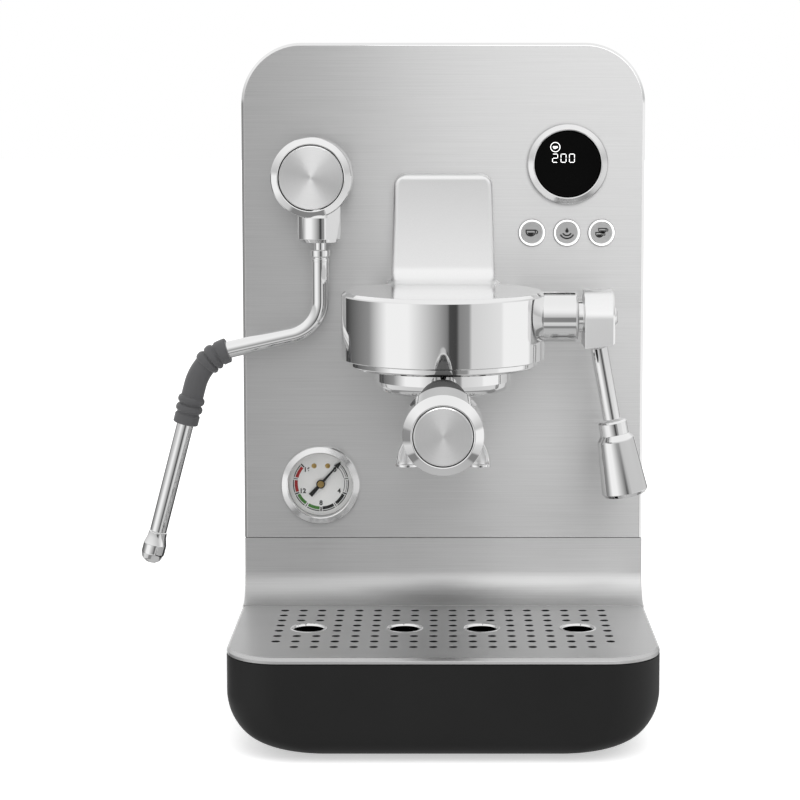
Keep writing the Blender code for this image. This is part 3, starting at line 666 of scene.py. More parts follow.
def drip_tray():
    """The black tray: rounded in plan, rounder still towards the floor."""
    toe = 11.0
    levels = [TUB_FOOT + TUB_RADIUS * (1 - math.cos(math.pi / 2 * step / 24)) for step in range(25)]
    levels += [48.0, TUB_TOP - 0.5]

    def plan(z, wall):
        side_drop = max(0.0, TUB_FOOT + TUB_RADIUS - z)
        toe_drop = max(0.0, TUB_FOOT + toe - z)
        side_in = TUB_RADIUS - math.sqrt(TUB_RADIUS ** 2 - side_drop ** 2)
        toe_in = toe - math.sqrt(toe ** 2 - toe_drop ** 2)
        points = tub_plan(HALF_WIDTH - side_in - wall, TUB_FRONT + toe_in + wall, TUB_CORNER - wall,
                          -GAP - wall)
        return [spot(p.x, p.y, z) for p in points]

    def lip(z, wall):
        points = tub_plan(HALF_WIDTH - wall, TUB_FRONT + wall, TUB_CORNER - wall, -GAP - wall)
        return [spot(p.x, p.y, z) for p in points]

    rings = [plan(z, 0.0) for z in levels]
    rings += [lip(TUB_TOP - 0.15, 0.15), lip(TUB_TOP, 0.5), lip(TUB_TOP, TUB_WALL - 0.4), lip(TUB_TOP - 0.4, TUB_WALL)]
    rings += [plan(z, TUB_WALL) for z in (48.0, 40.0, 34.0, 28.0, 23.0, 19.0, 16.0, 14.0, 12.8)]
    shape = bmesh.new()
    skin(shape, rings)
    made = show("tray", shape, "black_plastic", "tray", ["drip_tray"])
    grooves = [(box_outline(x - 6.4, 2, x + 6.4, 11.2, 0.6), "XZ", -114, 10) for x in (-60, 60)]
    cut(made, grooves)


def grille():
    """The perforated sheet that cups stand on, with four large drains."""
    pitch, row_pitch, first_row, rows, columns = 11.0, 12.0, -30.0, 8, 18
    hole_radius, drain_radius = 2.45, 9.65
    drain_columns = (-7, -2, 2, 7)
    holes = []
    for row in range(rows):
        for column in range(columns):
            x, y = (column - (columns - 1) / 2) * pitch, first_row - row * row_pitch
            near_drain = any(math.hypot(x - drain * pitch, y - GROUP_Y) < 12 for drain in drain_columns)
            outermost = column in (0, columns - 1)
            if not near_drain and not (outermost and row == rows - 1):
                holes.append(circle(x, y, hole_radius, 16))
    holes += [circle(drain * pitch, GROUP_Y, drain_radius, 48) for drain in drain_columns]
    side, back, front = HALF_WIDTH, -SWEEP_RADIUS - GAP, TUB_FRONT + 0.5
    outline = tub_plan(side, front, TUB_CORNER, back)
    shape = bmesh.new()
    # The holes' walls below their rounded lips take the third look, plain black: painted shade, standing in for the
    # shade down inside the punched holes.
    slab(shape, [outline, *holes], "XY", GRILLE_TOP, GRILLE_TOP - 1.8, [(1.7, 0.0), (1.45, 0.06), (0.3, 1.2), (0, 1.7)],
         0.02, 1, hole_edge=0.2, hole_look=2)
    inner = inset([Vector((p[0], p[1], 0)) for p in outline], 1.4)
    slab(shape, [outline, inner], "XY", GRILLE_TOP - 1.79, TUB_TOP + GAP, 0.02, 0.2)
    show("grille", shape, ["brushed_steel", "rim_steel", "ink"], "grille", ["drip_grille"], sharp=20)
    funnel = [(drain_radius + 1.2, GRILLE_TOP + 0.02), (drain_radius + 0.6, GRILLE_TOP + 0.35, 0.3),
              (drain_radius - 0.3, GRILLE_TOP + 0.1, 0.3), (drain_radius - 0.8, GRILLE_TOP - 1.0, 0.3),
              (drain_radius - 0.9, GRILLE_TOP - 3.0), (drain_radius - 0.4, GRILLE_TOP - 3.0),
              (drain_radius - 0.3, GRILLE_TOP - 0.6)]
    for index, drain in enumerate(drain_columns):
        turned(f"drain_rim_{index}", funnel, (drain * pitch, GROUP_Y, 0), "Z", "chrome", "grille", "chrome",
               steps=48, closed=True, soft=0.2)


def back_of_machine():
    low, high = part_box("rear_cover")
    front, back = (low.y - DATUM.y) / MM, (high.y - DATUM.y) / MM
    slots = [box_outline(x - 1.6, 200, x + 1.6, 260, 1.5) for x in (-70, -56, -42, -28, 28, 42, 56, 70)]
    gland_x, gland_z, switch_x, switch_z = -60.0, 90.0, 70.3, 90.0
    switch_hole = box_outline(switch_x - 9.9, switch_z - 13.2, switch_x + 9.9, switch_z + 13.2, 0.8)
    shape = bmesh.new()
    slab(shape, [arch(GAP, TUB_TOP + GAP), *slots, circle(gland_x, gland_z, 9.3), switch_hole], "XZ", back, front,
         0.8, 0.1, hole_edge=0.3)
    show("back_cover", shape, "black_paint", "root", ["rear_cover"])
    screw = [(0, 0.35), (1.1, 0.35), (1.1, 0.95), (2.6, 0.95, 0.5), (3.1, 0.1), (3.1, 0.0), (0, 0.0)]
    for index, (x, z) in enumerate([(-108, 70), (108, 70), (-108, 215), (108, 215), (-60, 380), (60, 380)]):
        turned(f"cover_screw_{index}", screw, (x, back, z), "Y", "dark_metal", "root", "dark_metal", steps=24)
    gland = [(5.0, 9), (9.0, 9, 1.5), (12, 6, 1.0), (12, 0), (9.0, 0), (9.0, -4.5), (5.0, -4.5)]
    turned("gland", gland, (gland_x, back + GAP, gland_z), "Y", "black_rubber", "root", "black_rubber",
           ["cord_gland"], 48, True, 0.6)
    surround = [box_outline(switch_x - 11.6, switch_z - 14.9, switch_x + 11.6, switch_z + 14.9, 2), switch_hole]
    shape = bmesh.new()
    slab(shape, surround, "XZ", back + 1.0, back + 0.02, 0.4, 0.05)
    show("switch_surround", shape, "black_plastic", "root")
    outline = [(274.0, 80), (283.0, 78.2), (285.2, 84), (284.0, 90), (286.6, 101.8), (274.0, 100)]
    shape = bmesh.new()
    slab(shape, [outline], "YZ", switch_x - 9, switch_x + 9, 0.5)
    show("rocker", shape, "black_plastic", "switch_rocker", ["power_switch"])
    mark = bmesh.new()
    slab(mark, [box_outline(switch_x - 0.5, 93.5, switch_x + 0.5, 98.0, 0.3)], "XZ", 284.9, 285.75, 0.1)
    show("rocker_mark", mark, "lit_plastic", "switch_rocker", sharp=60)


def pan(name, plan, floor_low, floor_high, top, wall, looks, body, stands_for, soft=0.6):
    """An open box with rounded lips."""
    outline = [Vector((p[0], p[1], 0)) for p in plan]

    def level(distance, z):
        return [spot(p.x, p.y, z) for p in inset(outline, distance)]

    rings = [level(soft, floor_low), level(soft * 0.3, floor_low + soft * 0.3), level(0, floor_low + soft)]
    rings += [level(0, top - soft / 2), level(soft * 0.15, top - soft * 0.15), level(soft / 2, top)]
    rings += [level(wall - soft / 2, top), level(wall - soft * 0.15, top - soft * 0.15), level(wall, top - soft / 2)]
    rings += [level(wall, floor_high + 0.8), level(wall + 0.25, floor_high + 0.25), level(wall + 0.8, floor_high)]
    shape = bmesh.new()
    skin(shape, rings)
    return show(name, shape, looks, body, stands_for)


def top_of_machine():
    lip = TOP - GAP
    pan("cup_tray", box_outline(-79.7, 16.3, 79.7, 183.7, 3), 384, 386, lip, 1.6, "brushed_steel", "root",
        ["cup_warmer_tray"])
    for row in range(6):
        for side in (-1, 1):
            y = 34 + row * 26.4
            shape = bmesh.new()
            rib = box_outline(side * 38 - 32, y - 2.2, side * 38 + 32, y + 2.2, 2.1, 8)
            slab(shape, [rib], "XY", 387.0, 385.9, 0.8)
            show(f"cup_rib_{row}_{'left' if side < 0 else 'right'}", shape, "brushed_steel", "root")
    pan("tank", box_outline(-79.4, 196.8, 79.4, 275.2, 4), 150, 153, 388, 2.6, "smoked_plastic", "tank",
        ["water_tank"])
    scoop = box_outline(-24, 204, 24, 222, 8.9, 10)
    shape = bmesh.new()
    slab(shape, [box_outline(-79.4, 196.8, 79.4, 275.4, 3), scoop], "XY", lip, 388.3, 0.7, 0.3, hole_edge=1.2)
    show("tank_lid", shape, "black_plastic", "tank_lid", ["water_tank_lid"])
    shape = bmesh.new()
    slab(shape, [box_outline(-25, 203, 25, 223, 9.9, 10)], "XY", 389.6, 388.5, 0.3)
    show("lid_scoop", shape, "black_plastic", "tank_lid")


# ---------------------------------------------------------------- group


def group():
    """The polished drum and the neck that carries it."""
    drum = [(0, DRUM_TOP), (DRUM_RADIUS - 1.9, DRUM_TOP, 0.5), (DRUM_RADIUS - 0.25, DRUM_TOP - 1.6, 0.5),
            (DRUM_RADIUS, DRUM_TOP - 2.4), (DRUM_RADIUS, DRUM_BOTTOM, 0.6), (47.4, DRUM_BOTTOM), (47.4, 246), (0, 246)]
    turned("drum", drum, (0, GROUP_Y, 0), "Z", "chrome", "root", "chrome", ["group_housing"], 192, soft=0.3)
    top_width, foot_width, top, corner, edge = 28.9, 30.6, 316.0, 7.0, 3.2
    foot_z, sweep_z, sweep_radius = DRUM_TOP - 0.8, 263.0, 10.0
    rings = []
    levels = [foot_z + (sweep_z - foot_z) * step / 10 for step in range(10)]
    levels += [sweep_z + (top - corner - sweep_z) * step / 12 for step in range(12)]
    levels += [top - corner * (1 - math.sin(math.pi / 2 * step / 16)) for step in range(17)]
    for z in levels:
        share = (z - foot_z) / (top - foot_z)
        width = foot_width + (top_width - foot_width) * share
        drop = max(0.0, z - (top - corner))
        width -= corner - math.sqrt(corner ** 2 - drop ** 2)
        lower = (top - z) / 66.0
        front = -12.3 - 5.8 * lower - 5.9 * lower ** 2
        rise = max(0.0, foot_z + sweep_radius - z)
        front -= sweep_radius - math.sqrt(sweep_radius ** 2 - rise ** 2)
        over = max(0.0, z - (top - edge))
        back_off = edge - math.sqrt(edge ** 2 - over ** 2)
        front += back_off
        flare = max(0.0, foot_z + 3.0 - z)
        width += 3.0 - math.sqrt(9.0 - flare ** 2)
        plan = rounded([(width, -0.1, 0), (-width, -0.1, 0), (-width, front, edge), (width, front, edge)], 8)
        rings.append([spot(p.x, p.y, z) for p in plan])
    shape = bmesh.new()
    skin(shape, rings)
    show("neck", shape, "satin", "root", sharp=60)
    head = [(0, 245.6), (47.0, 245.6), (47.0, 213.9), (53.5, 213.9, 0.3), (53.5, 211.0, 1.2), (52.4, 209.9, 0.5),
            (39.3, 209.9, 0.6), (39.3, 214.0), (44.9, 214.0), (44.9, 222.2), (37.2, 222.2), (37.2, 231), (0, 231)]
    turned("bayonet_ring", head, (0, GROUP_Y, 0), "Z", "chrome", "root", "chrome", ["group_head"], 192, soft=0.3)


def portafilter():
    centre = (0, GROUP_Y, 0)
    bowl = [(0, 197.4), (22, 198.0), (29.2, 201.2, 3), (31.3, 206, 3), (31.3, 219.6), (35.2, 219.6), (35.2, 221.9),
            (38.6, 221.9), (38.6, 202.2), (37.9, 199.4, 4), (36.2, 197.0, 4), (33.2, 195.5, 4), (0, 194.8)]
    turned("bowl", bowl, centre, "Z", "chrome", "portafilter", "chrome", ["portafilter_body"], 144, soft=0.3)
    for side, sign in (("left", -1), ("right", 1)):
        low, high = sorted((sign * 36.0, sign * 43.2))
        shape = bmesh.new()
        slab(shape, [box_outline(low, GROUP_Y - 9.5, high, GROUP_Y + 9.5, 0.8)], "XY", 221.2, 214.5, 0.5)
        show(f"bayonet_ear_{side}", shape, "chrome", "portafilter")
    arm = rounded([(0, -36 + GROUP_Y, 204.5, 0), (0, -114, 197.5, 9), (0, -122.0, HANDLE_Z + 0.6, 0)], 8, False)
    shape = bmesh.new()
    sweep(shape, arm, circle(0, 0, 7.4, 48), (1, 0, 0))
    show("handle_arm", shape, "chrome", "portafilter")

    middle = (0, 0, HANDLE_Z + HANDLE_START * math.tan(math.radians(HANDLE_DROOP)))
    way = (90 + HANDLE_DROOP, 0, 0)
    grip = [(0, 199.8), (15.6, 199.8), (16.4, 196, 3), (16.6, 180, 40), (15.7, 160, 40), (14.3, 140, 40),
            (13.4, 127.3, 1.5), (12.2, HANDLE_START, 0.8), (0, HANDLE_START)]
    turned("grip", grip, middle, way, "black_plastic", "portafilter", "black_plastic", ["portafilter_handle"], 96)
    end = [(0, 232.0), (15.2, 232.0), (15.2, 233.4, 0.2), (15.9, 233.8, 0.4), (20.2, 229.3, 0.5), (20.2, 200.9, 0.4),
           (19.5, 200.1, 0.3), (0, 200.1)]
    turned("handle_end", end, middle, way, "chrome", "portafilter", "chrome", ["handle_collar"], 128)
    cap = [(0, 233.8), (14.2, 233.8, 0.2), (14.7, 233.35), (14.7, 232.3), (0, 232.3)]
    turned("cap", cap, middle, way, "spun", "portafilter", "brushed_steel", ["handle_cap"], 128)
    # A thin black ring that fills the gap between the cap and the handle's end: painted shade, standing in for the
    # shade down in that groove.
    shadow_ring = [(14.75, 232.05), (14.75, 232.5), (15.15, 232.5), (15.15, 232.05)]
    turned("cap_gap_shade", shadow_ring, middle, way, "ink", "portafilter", "dark_metal", steps=96, closed=True,
           soft=0.05)
    spout()


def spout():
    """A boss below the bowl and two open channels, with their rims to the front."""
    boss = [(0, 194.3), (9.5, 194.3), (9.5, 180, 4), (8, 173, 3), (0, 171)]
    turned("spout_boss", boss, (0, GROUP_Y, 0), "Z", "chrome", "portafilter", "chrome", ["coffee_spout"], 64)
    for side, sign in (("left", -1), ("right", 1)):
        for layer, look, outer, inner, opening, foot in (("shell", "chrome", 6.5, 5.85, 58, 152.2),
                                                         ("lining", "satin", 5.5, 4.9, 61, 152.7)):
            corners = [(-sign * 4, GROUP_Y, 171, 0), (sign * 20.6, GROUP_Y, 171, 18), (sign * 20.6, GROUP_Y, foot, 0)]
            first = math.radians(opening)
            turns = [first + (math.tau - 2 * first) * step / 32 for step in range(33)]
            outside = [Vector((math.sin(t) * outer, -math.cos(t) * outer, 0)) for t in turns]
            inside = [Vector((math.sin(t) * inner, -math.cos(t) * inner, 0)) for t in turns]
            shape = bmesh.new()
            sweep(shape, rounded(corners, 20, False), outside + inside[::-1], (0, 1, 0))
            show(f"spout_{layer}_{side}", shape, look, "portafilter", sharp=40)
        outlet = [(5.2, 152.2), (6.5, 152.2, 0.35), (6.5, 153.9, 0.35), (5.2, 153.9)]
        turned(f"spout_outlet_{side}", outlet, (sign * 20.6, GROUP_Y, 0), "Z", "chrome", "portafilter", "chrome",
               steps=48, closed=True)


# ---------------------------------------------------------------- steam lever


def steam_lever():
    low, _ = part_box("steam_valve_housing")
    start = (low.x - DATUM.x) / MM
    housing = [(0, 75.7), (13.2, 75.7, 0.5), (14.3, 74.4, 0.6), (14.3, start), (0, start)]
    turned("valve_housing", housing, (0, GROUP_Y, LEVER_Z), "X", "chrome", "root", "chrome",
           ["steam_valve_housing"], 96)

    radius, foot, slant = 15.8, 222.1, math.tan(math.radians(7.6))
    turns = [math.pi * step / 40 for step in range(41)]
    outline = [Vector((GROUP_Y + radius * math.cos(t), LEVER_Z + radius * math.sin(t), 0)) for t in turns]
    outline += [Vector((GROUP_Y - radius, foot, 0)), Vector((GROUP_Y + radius, foot, 0))]
    shape = bmesh.new()
    slab(shape, [outline], "YZ", 96.0, 79.0, [(1.1, 0.0), (1.0, 0.05), (0.1, 0.95), (0.0, 1.1)], 0.8, 1)
    middle = spot(87.5, 0, 0).x
    for vert in shape.verts:
        if vert.co.z < (foot + 3) * MM:
            vert.co.z += (vert.co.x - middle) * slant
    show("lever_body", shape, ["satin", "chrome"], "steam_lever", ["lever_block"], sharp=25)
    shaft = [(0, 82), (8.9, 82), (8.9, 76.0), (0, 76.0)]
    turned("lever_shaft", shaft, (0, GROUP_Y, LEVER_Z), "X", "chrome", "steam_lever", "chrome", steps=64)
    cap = [(0, 98.9), (3.4, 98.4, 2), (5.4, 97.4, 2), (6.2, 96.1), (0, 96.1)]
    turned("lever_screw", cap, (0, GROUP_Y, LEVER_Z), "X", "chrome", "steam_lever", "chrome", ["lever_cap_screw"], 48)

    lean = math.radians(ROD_TILT)
    down = Vector((math.sin(lean), 0, -math.cos(lean)))
    top, knob_top, knob_length = Vector((88.1, GROUP_Y, 220.1)), 42.3, 43.1
    rod = [(0, 0), (4.85, 0), (4.85, 41.6), (0, 41.6)]
    turn = (0, 180 - ROD_TILT, 0)
    turned("rod", rod, top, turn, "chrome", "steam_lever", "chrome", ["lever_rod"], 64)
    tip = top + down * (knob_top + knob_length)
    knob = [(0, 43.1), (7.2, 43.1, 0.6), (8.15, 42.0, 0.4), (8.15, 35.0, 1), (10.2, 32.4, 0.6), (10.5, 31.4, 0.6),
            (13.1, 2.0, 0.6), (11.6, 0, 0.6), (0, 0)]
    turned("knob", knob, tip, (0, -ROD_TILT, 0), "chrome", "steam_lever", "chrome", ["lever_knob"], 96)


# ---------------------------------------------------------------- steam wand


def steam_wand():
    boss = [(0, 31.6), (19.3, 31.6, 0.2), (19.3, 33.9, 0.15), (19.8, 34.2, 0.15), (23.1, 32.9, 0.3), (23.6, 32.0, 0.3),
            (23.6, 10.2, 1), (22.4, 9), (14.5, 9), (14.5, GAP), (0, GAP)]
    on_panel("boss", boss, BOSS_X, BOSS_Z, "chrome", "root", "chrome", ["wand_boss"], steps=128)
    cap = [(0, 33.6), (18.2, 33.6, 0.2), (18.7, 33.1), (18.7, 31.9), (0, 31.9)]
    on_panel("boss_cap", cap, BOSS_X, BOSS_Z, "spun", "root", "brushed_steel", ["wand_boss_cap"], steps=128)
    # A thin black ring that fills the gap between the cap and the boss's ring: painted shade, standing in for the shade
    # down in that groove.
    gap_shade_ring = [(18.75, 31.65), (18.75, 32.3), (19.25, 32.3), (19.25, 31.65)]
    on_panel("boss_gap_shade", gap_shade_ring, BOSS_X, BOSS_Z, "ink", "root", "dark_metal", steps=96, closed=True, soft=0.05)

    facet_turn, facet_depth = math.radians(-38), 10.6

    def faceted(x, y, z):
        """One flat down the right of the front of the socket."""
        way = Vector((math.cos(facet_turn), math.sin(facet_turn)))
        tuck = max(0.0, z - 291.0) / 15.0
        y = max(y, -12.7 + 4.0 * tuck)
        beyond = Vector((x, y)).dot(way) - facet_depth
        if beyond <= 0:
            return x, y, z
        return x - way.x * beyond, y - way.y * beyond, z

    socket = [(0, 306), (12.7, 306), (12.7, 291), (12.7, 278.6, 0.5), (10.9, 276.5, 0.5), (0, 276.4)]
    turned("socket", socket, (WAND_X - 0.6, WAND_Y, 0), "Z", "chrome", "root", "chrome", ["wand_socket"], 160,
           adjust=faceted, sharp=12)
    neck = [(0, 276.1), (3.5, 276.1), (3.5, 271.9), (5.6, 271.8, 0.3), (5.6, 268.0, 0.3), (4.4, 267.7), (4.4, 266.6),
            (5.2, 266.5), (5.2, 265.0), (0, 265.0)]
    turned("neck_collar", neck, (WAND_X, WAND_Y, 0), "Z", "chrome", "wand", "chrome", ["wand_neck"], 64, soft=0.15)

    corners = [(WAND_X, WAND_Y, 266.9, 0), (WAND_X, WAND_Y, 225.2, 21), (-142.0, WAND_Y, 209.3, 29.7),
               (-169.4, WAND_Y, 104.6, 0)]
    path = rounded(corners, 28, False)
    shape = bmesh.new()
    sweep(shape, path, circle(0, 0, 5.0, 48), (0, 1, 0))
    show("tube", shape, "chrome", "wand", ["wand_tube"])
    silicone_grip(path)
    nozzle = [(0, 19.0), (5.4, 19.0), (5.6, 16.0, 2), (6.85, 11.5, 2), (6.85, 6.0, 3), (5.6, 2.2, 3), (3.2, 0.5, 2),
              (0, 0)]
    turned("nozzle", nozzle, (-174.3, WAND_Y, 85.6), (0, 14.65, 0), "chrome", "wand", "chrome", ["wand_nozzle"], 64)


def silicone_grip(path):
    start, end, count = 92.5, 146.0, 215
    length = end - start
    ribs = (9.3, 14.2, 39.0, 44.2)
    sections = []
    for index in range(count):
        along = length * index / (count - 1)
        from_end = min(along, length - along)
        radius = 6.6
        if from_end < 6.2:
            radius = 7.4 - max(0.0, 0.5 - from_end) - max(0.0, from_end - 5.4)
        for rib in ribs:
            off = abs(along - rib) / 2.1
            if off < 1:
                radius = max(radius, 6.6 + 1.35 * math.sqrt(1 - off * off))
        sections.append(circle(0, 0, radius, 64))
    shape = bmesh.new()
    sweep(shape, stretch(path, start, end, count), sections, (0, 1, 0))
    show("grip", shape, "grey_rubber", "wand", ["wand_grip"], sharp=50)


# ---------------------------------------------------------------- instruments


def arc_band(shape, x, z, inner, outer, first, last, y, depth=0.06, steps=24):
    """A flat stretch of a ring, from one angle to another, lying on a plane of the panel."""
    turns = [math.radians(first + (last - first) * step / steps) for step in range(steps + 1)]
    outline = [Vector((x + outer * math.cos(t), z + outer * math.sin(t), 0)) for t in turns]
    outline += [Vector((x + inner * math.cos(t), z + inner * math.sin(t), 0)) for t in reversed(turns)]
    slab(shape, [outline], "XZ", y - depth, y, 0.01, 0.01)


def print_on(name, look, body, draw):
    shape = bmesh.new()
    draw(shape)
    return show(name, shape, look, body, sharp=60)


def gauge():
    bezel = [(19.4, GAP), (19.4, 4.9, 0.2), (20.0, 5.4, 0.2), (23.2, 4.1, 0.5), (23.9, 3.2, 0.4), (23.9, GAP)]
    on_panel("gauge_rim", bezel, GAUGE_X, GAUGE_Z, "soft_chrome", "root", "chrome", ["gauge_bezel"], steps=128,
             closed=True)
    dial_y = 2.0
    on_panel("dial", [(0, -2.0), (19.9, -2.0), (19.9, -2.8), (0, -2.8)], GAUGE_X, GAUGE_Z, "white_enamel", "root",
             "white_enamel", ["gauge_dial"], steps=96)
    wall = [(19.35, 1.1), (20.3, 1.1), (20.3, -2.0), (19.35, -2.0)]
    on_panel("dial_wall", wall, GAUGE_X, GAUGE_Z, "grey_plastic", "root", "grey_plastic", steps=96, closed=True, soft=0)

    zero, span, highest = 45.0, -270.0, 16
    angle_of = lambda reading: zero + span * reading / highest
    bands = [("ink_grey", 0, 14.1, 14.5), ("ink_grey", 0, 15.5, 15.8), ("ink", 4, 14.0, 15.9),
             ("ink_green", 8, 14.0, 15.9), ("ink_red", 12, 14.0, 15.9)]
    dash_end = 3.2  # degrees left free on each side of a tick

    def draw_dash(shape, reading, inner, outer):
        """One dash of the scale, from a reading to the next tick."""
        arc_band(shape, GAUGE_X, GAUGE_Z, inner, outer, angle_of(reading) - dash_end,
                 angle_of(reading + 2) + dash_end, dial_y)

    for look, first, inner, outer in bands:
        def draw(shape):
            for reading in (first, first + 2):
                draw_dash(shape, reading, inner, outer)
        print_on(f"scale_{first}_{inner}", look, "root", draw)

    def draw_line(shape):
        for reading in range(0, highest, 2):
            draw_dash(shape, reading, 16.35, 16.9)
    print_on("scale_line", "ink", "root", draw_line)
    for reading in range(0, highest + 1, 2):
        angle = angle_of(reading)
        half = 1.5 if reading % 4 == 0 else 0.9
        ends = (angle - half, angle + half)
        print_on(f"tick_{reading}", "ink", "root",
                 lambda shape: arc_band(shape, GAUGE_X, GAUGE_Z, 14.2, 16.9, *ends, dial_y, steps=2))
        if reading % 4 == 0:
            turn = math.radians(angle)
            words(f"number_{reading}", str(reading), 3.9,
                  (GAUGE_X + 11.9 * math.cos(turn), dial_y - 0.05, GAUGE_Z + 11.9 * math.sin(turn)), "ink", "root")
    for index, x in enumerate((-4.1, 4.1)):
        on_panel(f"dial_screw_{index}", [(0, -1.4), (1.3, -1.5, 0.3), (1.65, -2.0), (0, -2.0)], GAUGE_X + x,
                 GAUGE_Z + 10.8, "brass", "root", "brass", steps=32)
    lean = math.radians(48)
    outline = [(-9.4, 1.3), (0, 0.9), (13.8, 0.4), (13.8, 1.65), (17.8, 0.25)]
    outline += [(along, -side) for along, side in reversed(outline)]
    turned_outline = [Vector((GAUGE_X + a * math.cos(lean) - s * math.sin(lean),
                              GAUGE_Z + a * math.sin(lean) + s * math.cos(lean), 0)) for a, s in outline]
    shape = bmesh.new()
    slab(shape, [turned_outline], "XZ", -0.9 + 1.2, -0.3 + 1.2, 0.1)
    show("pointer", shape, "ink", "needle", ["gauge_needle"])
    on_panel("pointer_ring", [(2.0, 0.6), (2.7, 0.5, 0.1), (2.7, 0.0), (2.0, 0.0)], GAUGE_X, GAUGE_Z, "ink", "needle",
             "dark_metal", steps=48, closed=True)
    on_panel("pointer_hub", [(0, 0.95), (1.8, 0.95, 0.3), (2.2, 0.3), (2.2, -1.5), (0, -1.5)], GAUGE_X, GAUGE_Z,
             "brass", "needle", "brass", steps=48)
    on_panel("glass", [(0, 2.4), (19.4, 2.4), (19.4, 1.2), (0, 1.2)], GAUGE_X, GAUGE_Z, "clear_glass", "root",
             "clear_glass", ["gauge_glass"], steps=96, soft=0.2)


def segment_digit(shape, digit, x, z, width, height, y):
    """A seven segment figure."""
    thick = 0.36
    lit = {"0": "abcdef", "1": "bc", "2": "abged", "5": "afgcd", "8": "abcdefg", "9": "abcdfg", "3": "abgcd"}[digit]
    right, middle, top = x + width, z + height / 2, z + height
    bars = {"a": (x, top, right, top), "b": (right, middle, right, top), "c": (right, z, right, middle),
            "d": (x, z, right, z), "e": (x, z, x, middle), "f": (x, middle, x, top), "g": (x, middle, right, middle)}
    for name in lit:
        x0, z0, x1, z1 = bars[name]
        flat = z0 == z1
        trim = 0.25
        if flat:
            outline = box_outline(x0 + trim, z0 - thick / 2, x1 - trim, z1 + thick / 2, 0.1, 2)
        else:
            outline = box_outline(x0 - thick / 2, z0 + trim, x1 + thick / 2, z1 - trim, 0.1, 2)
        slab(shape, [outline], "XZ", y - 0.06, y, 0.01, 0.01)


def cup_outline(x, z, size):
    """A cup with a handle, in outline, as a list of filled outlines."""
    wall = 0.2 * size
    turns = [math.pi + math.pi * step / 16 for step in range(17)]
    bowl = [Vector((x - size, z + 0.55 * size, 0))]
    bowl += [Vector((x + size * math.cos(t), z + 0.1 * size + 0.9 * size * math.sin(t), 0)) for t in turns]
    bowl += [Vector((x + size, z + 0.55 * size, 0))]
    inner = inset(bowl, wall * 1.2)
    handle_turns = [math.pi / 2 - math.pi * step / 10 for step in range(11)]
    reach = 0.42 * size
    handle = [Vector((x + size + reach * math.cos(t), z + 0.05 * size + reach * math.sin(t), 0)) for t in handle_turns]
    handle += [Vector((x + size + (reach - wall) * math.cos(t), z + 0.05 * size + (reach - wall) * math.sin(t), 0))
               for t in reversed(handle_turns)]
    return bowl, inner, handle


def draw_cup(shape, x, z, size, y, depth=0.08):
    bowl, inner, handle = cup_outline(x, z, size)
    slab(shape, [bowl, inner], "XZ", y - depth, y, 0.01, 0.01)
    slab(shape, [handle], "XZ", y - depth, y, 0.01, 0.01)
    turns = [math.pi + math.pi * step / 12 for step in range(13)]
    coffee = [Vector((x + 0.62 * size * math.cos(t), z - 0.02 * size + 0.55 * size * math.sin(t), 0)) for t in turns]
    slab(shape, [coffee], "XZ", y - depth, y, 0.01, 0.01)


def draw_drop(shape, x, z, y, depth=0.08):
    turns = [math.pi * 0.9 + math.pi * 1.2 * step / 16 for step in range(17)]
    drop = [Vector((x, z + 3.4, 0))] + [Vector((x + math.cos(t), z + 1.2 + math.sin(t), 0)) for t in turns]
    slab(shape, [drop], "XZ", y - depth, y, 0.01, 0.01)
    for radius in (2.7, 4.4):
        arc_band(shape, x, z + 1.2, radius - 0.42, radius + 0.42, 208, 332, y, depth, 16)


def display():
    bezel = [(19.9, GAP), (19.9, 5.1, 0.2), (20.5, 5.6, 0.2), (23.4, 4.3, 0.5), (24.1, 3.4, 0.4), (24.1, GAP)]
    on_panel("display_rim", bezel, DISPLAY_X, DISPLAY_Z, "soft_chrome", "root", "chrome", ["display_bezel"], steps=128,
             closed=True)
    glass = [(0, 3.4), (18.9, 3.4, 0.5), (19.7, 2.6), (19.7, -12), (0, -12)]
    on_panel("display_glass", glass, DISPLAY_X, DISPLAY_Z, "black_glass", "root", "black_glass", ["display_module"],
             steps=128)
    face = -3.4

    def reading(shape):
        for index, digit in enumerate("200"):
            segment_digit(shape, digit, DISPLAY_X - 9.0 + index * 5.0, DISPLAY_Z + 1.0, 3.0, 4.9, face)

    print_on("reading", "screen_light", "root", reading)

    def icon(shape):
        arc_band(shape, DISPLAY_X - 7.4, DISPLAY_Z + 10.0, 2.6, 2.95, 0, 359.9, face, steps=40)
        draw_cup(shape, DISPLAY_X - 7.6, DISPLAY_Z + 9.9, 1.2, face, 0.06)

    print_on("status_icon", "screen_light", "root", icon)


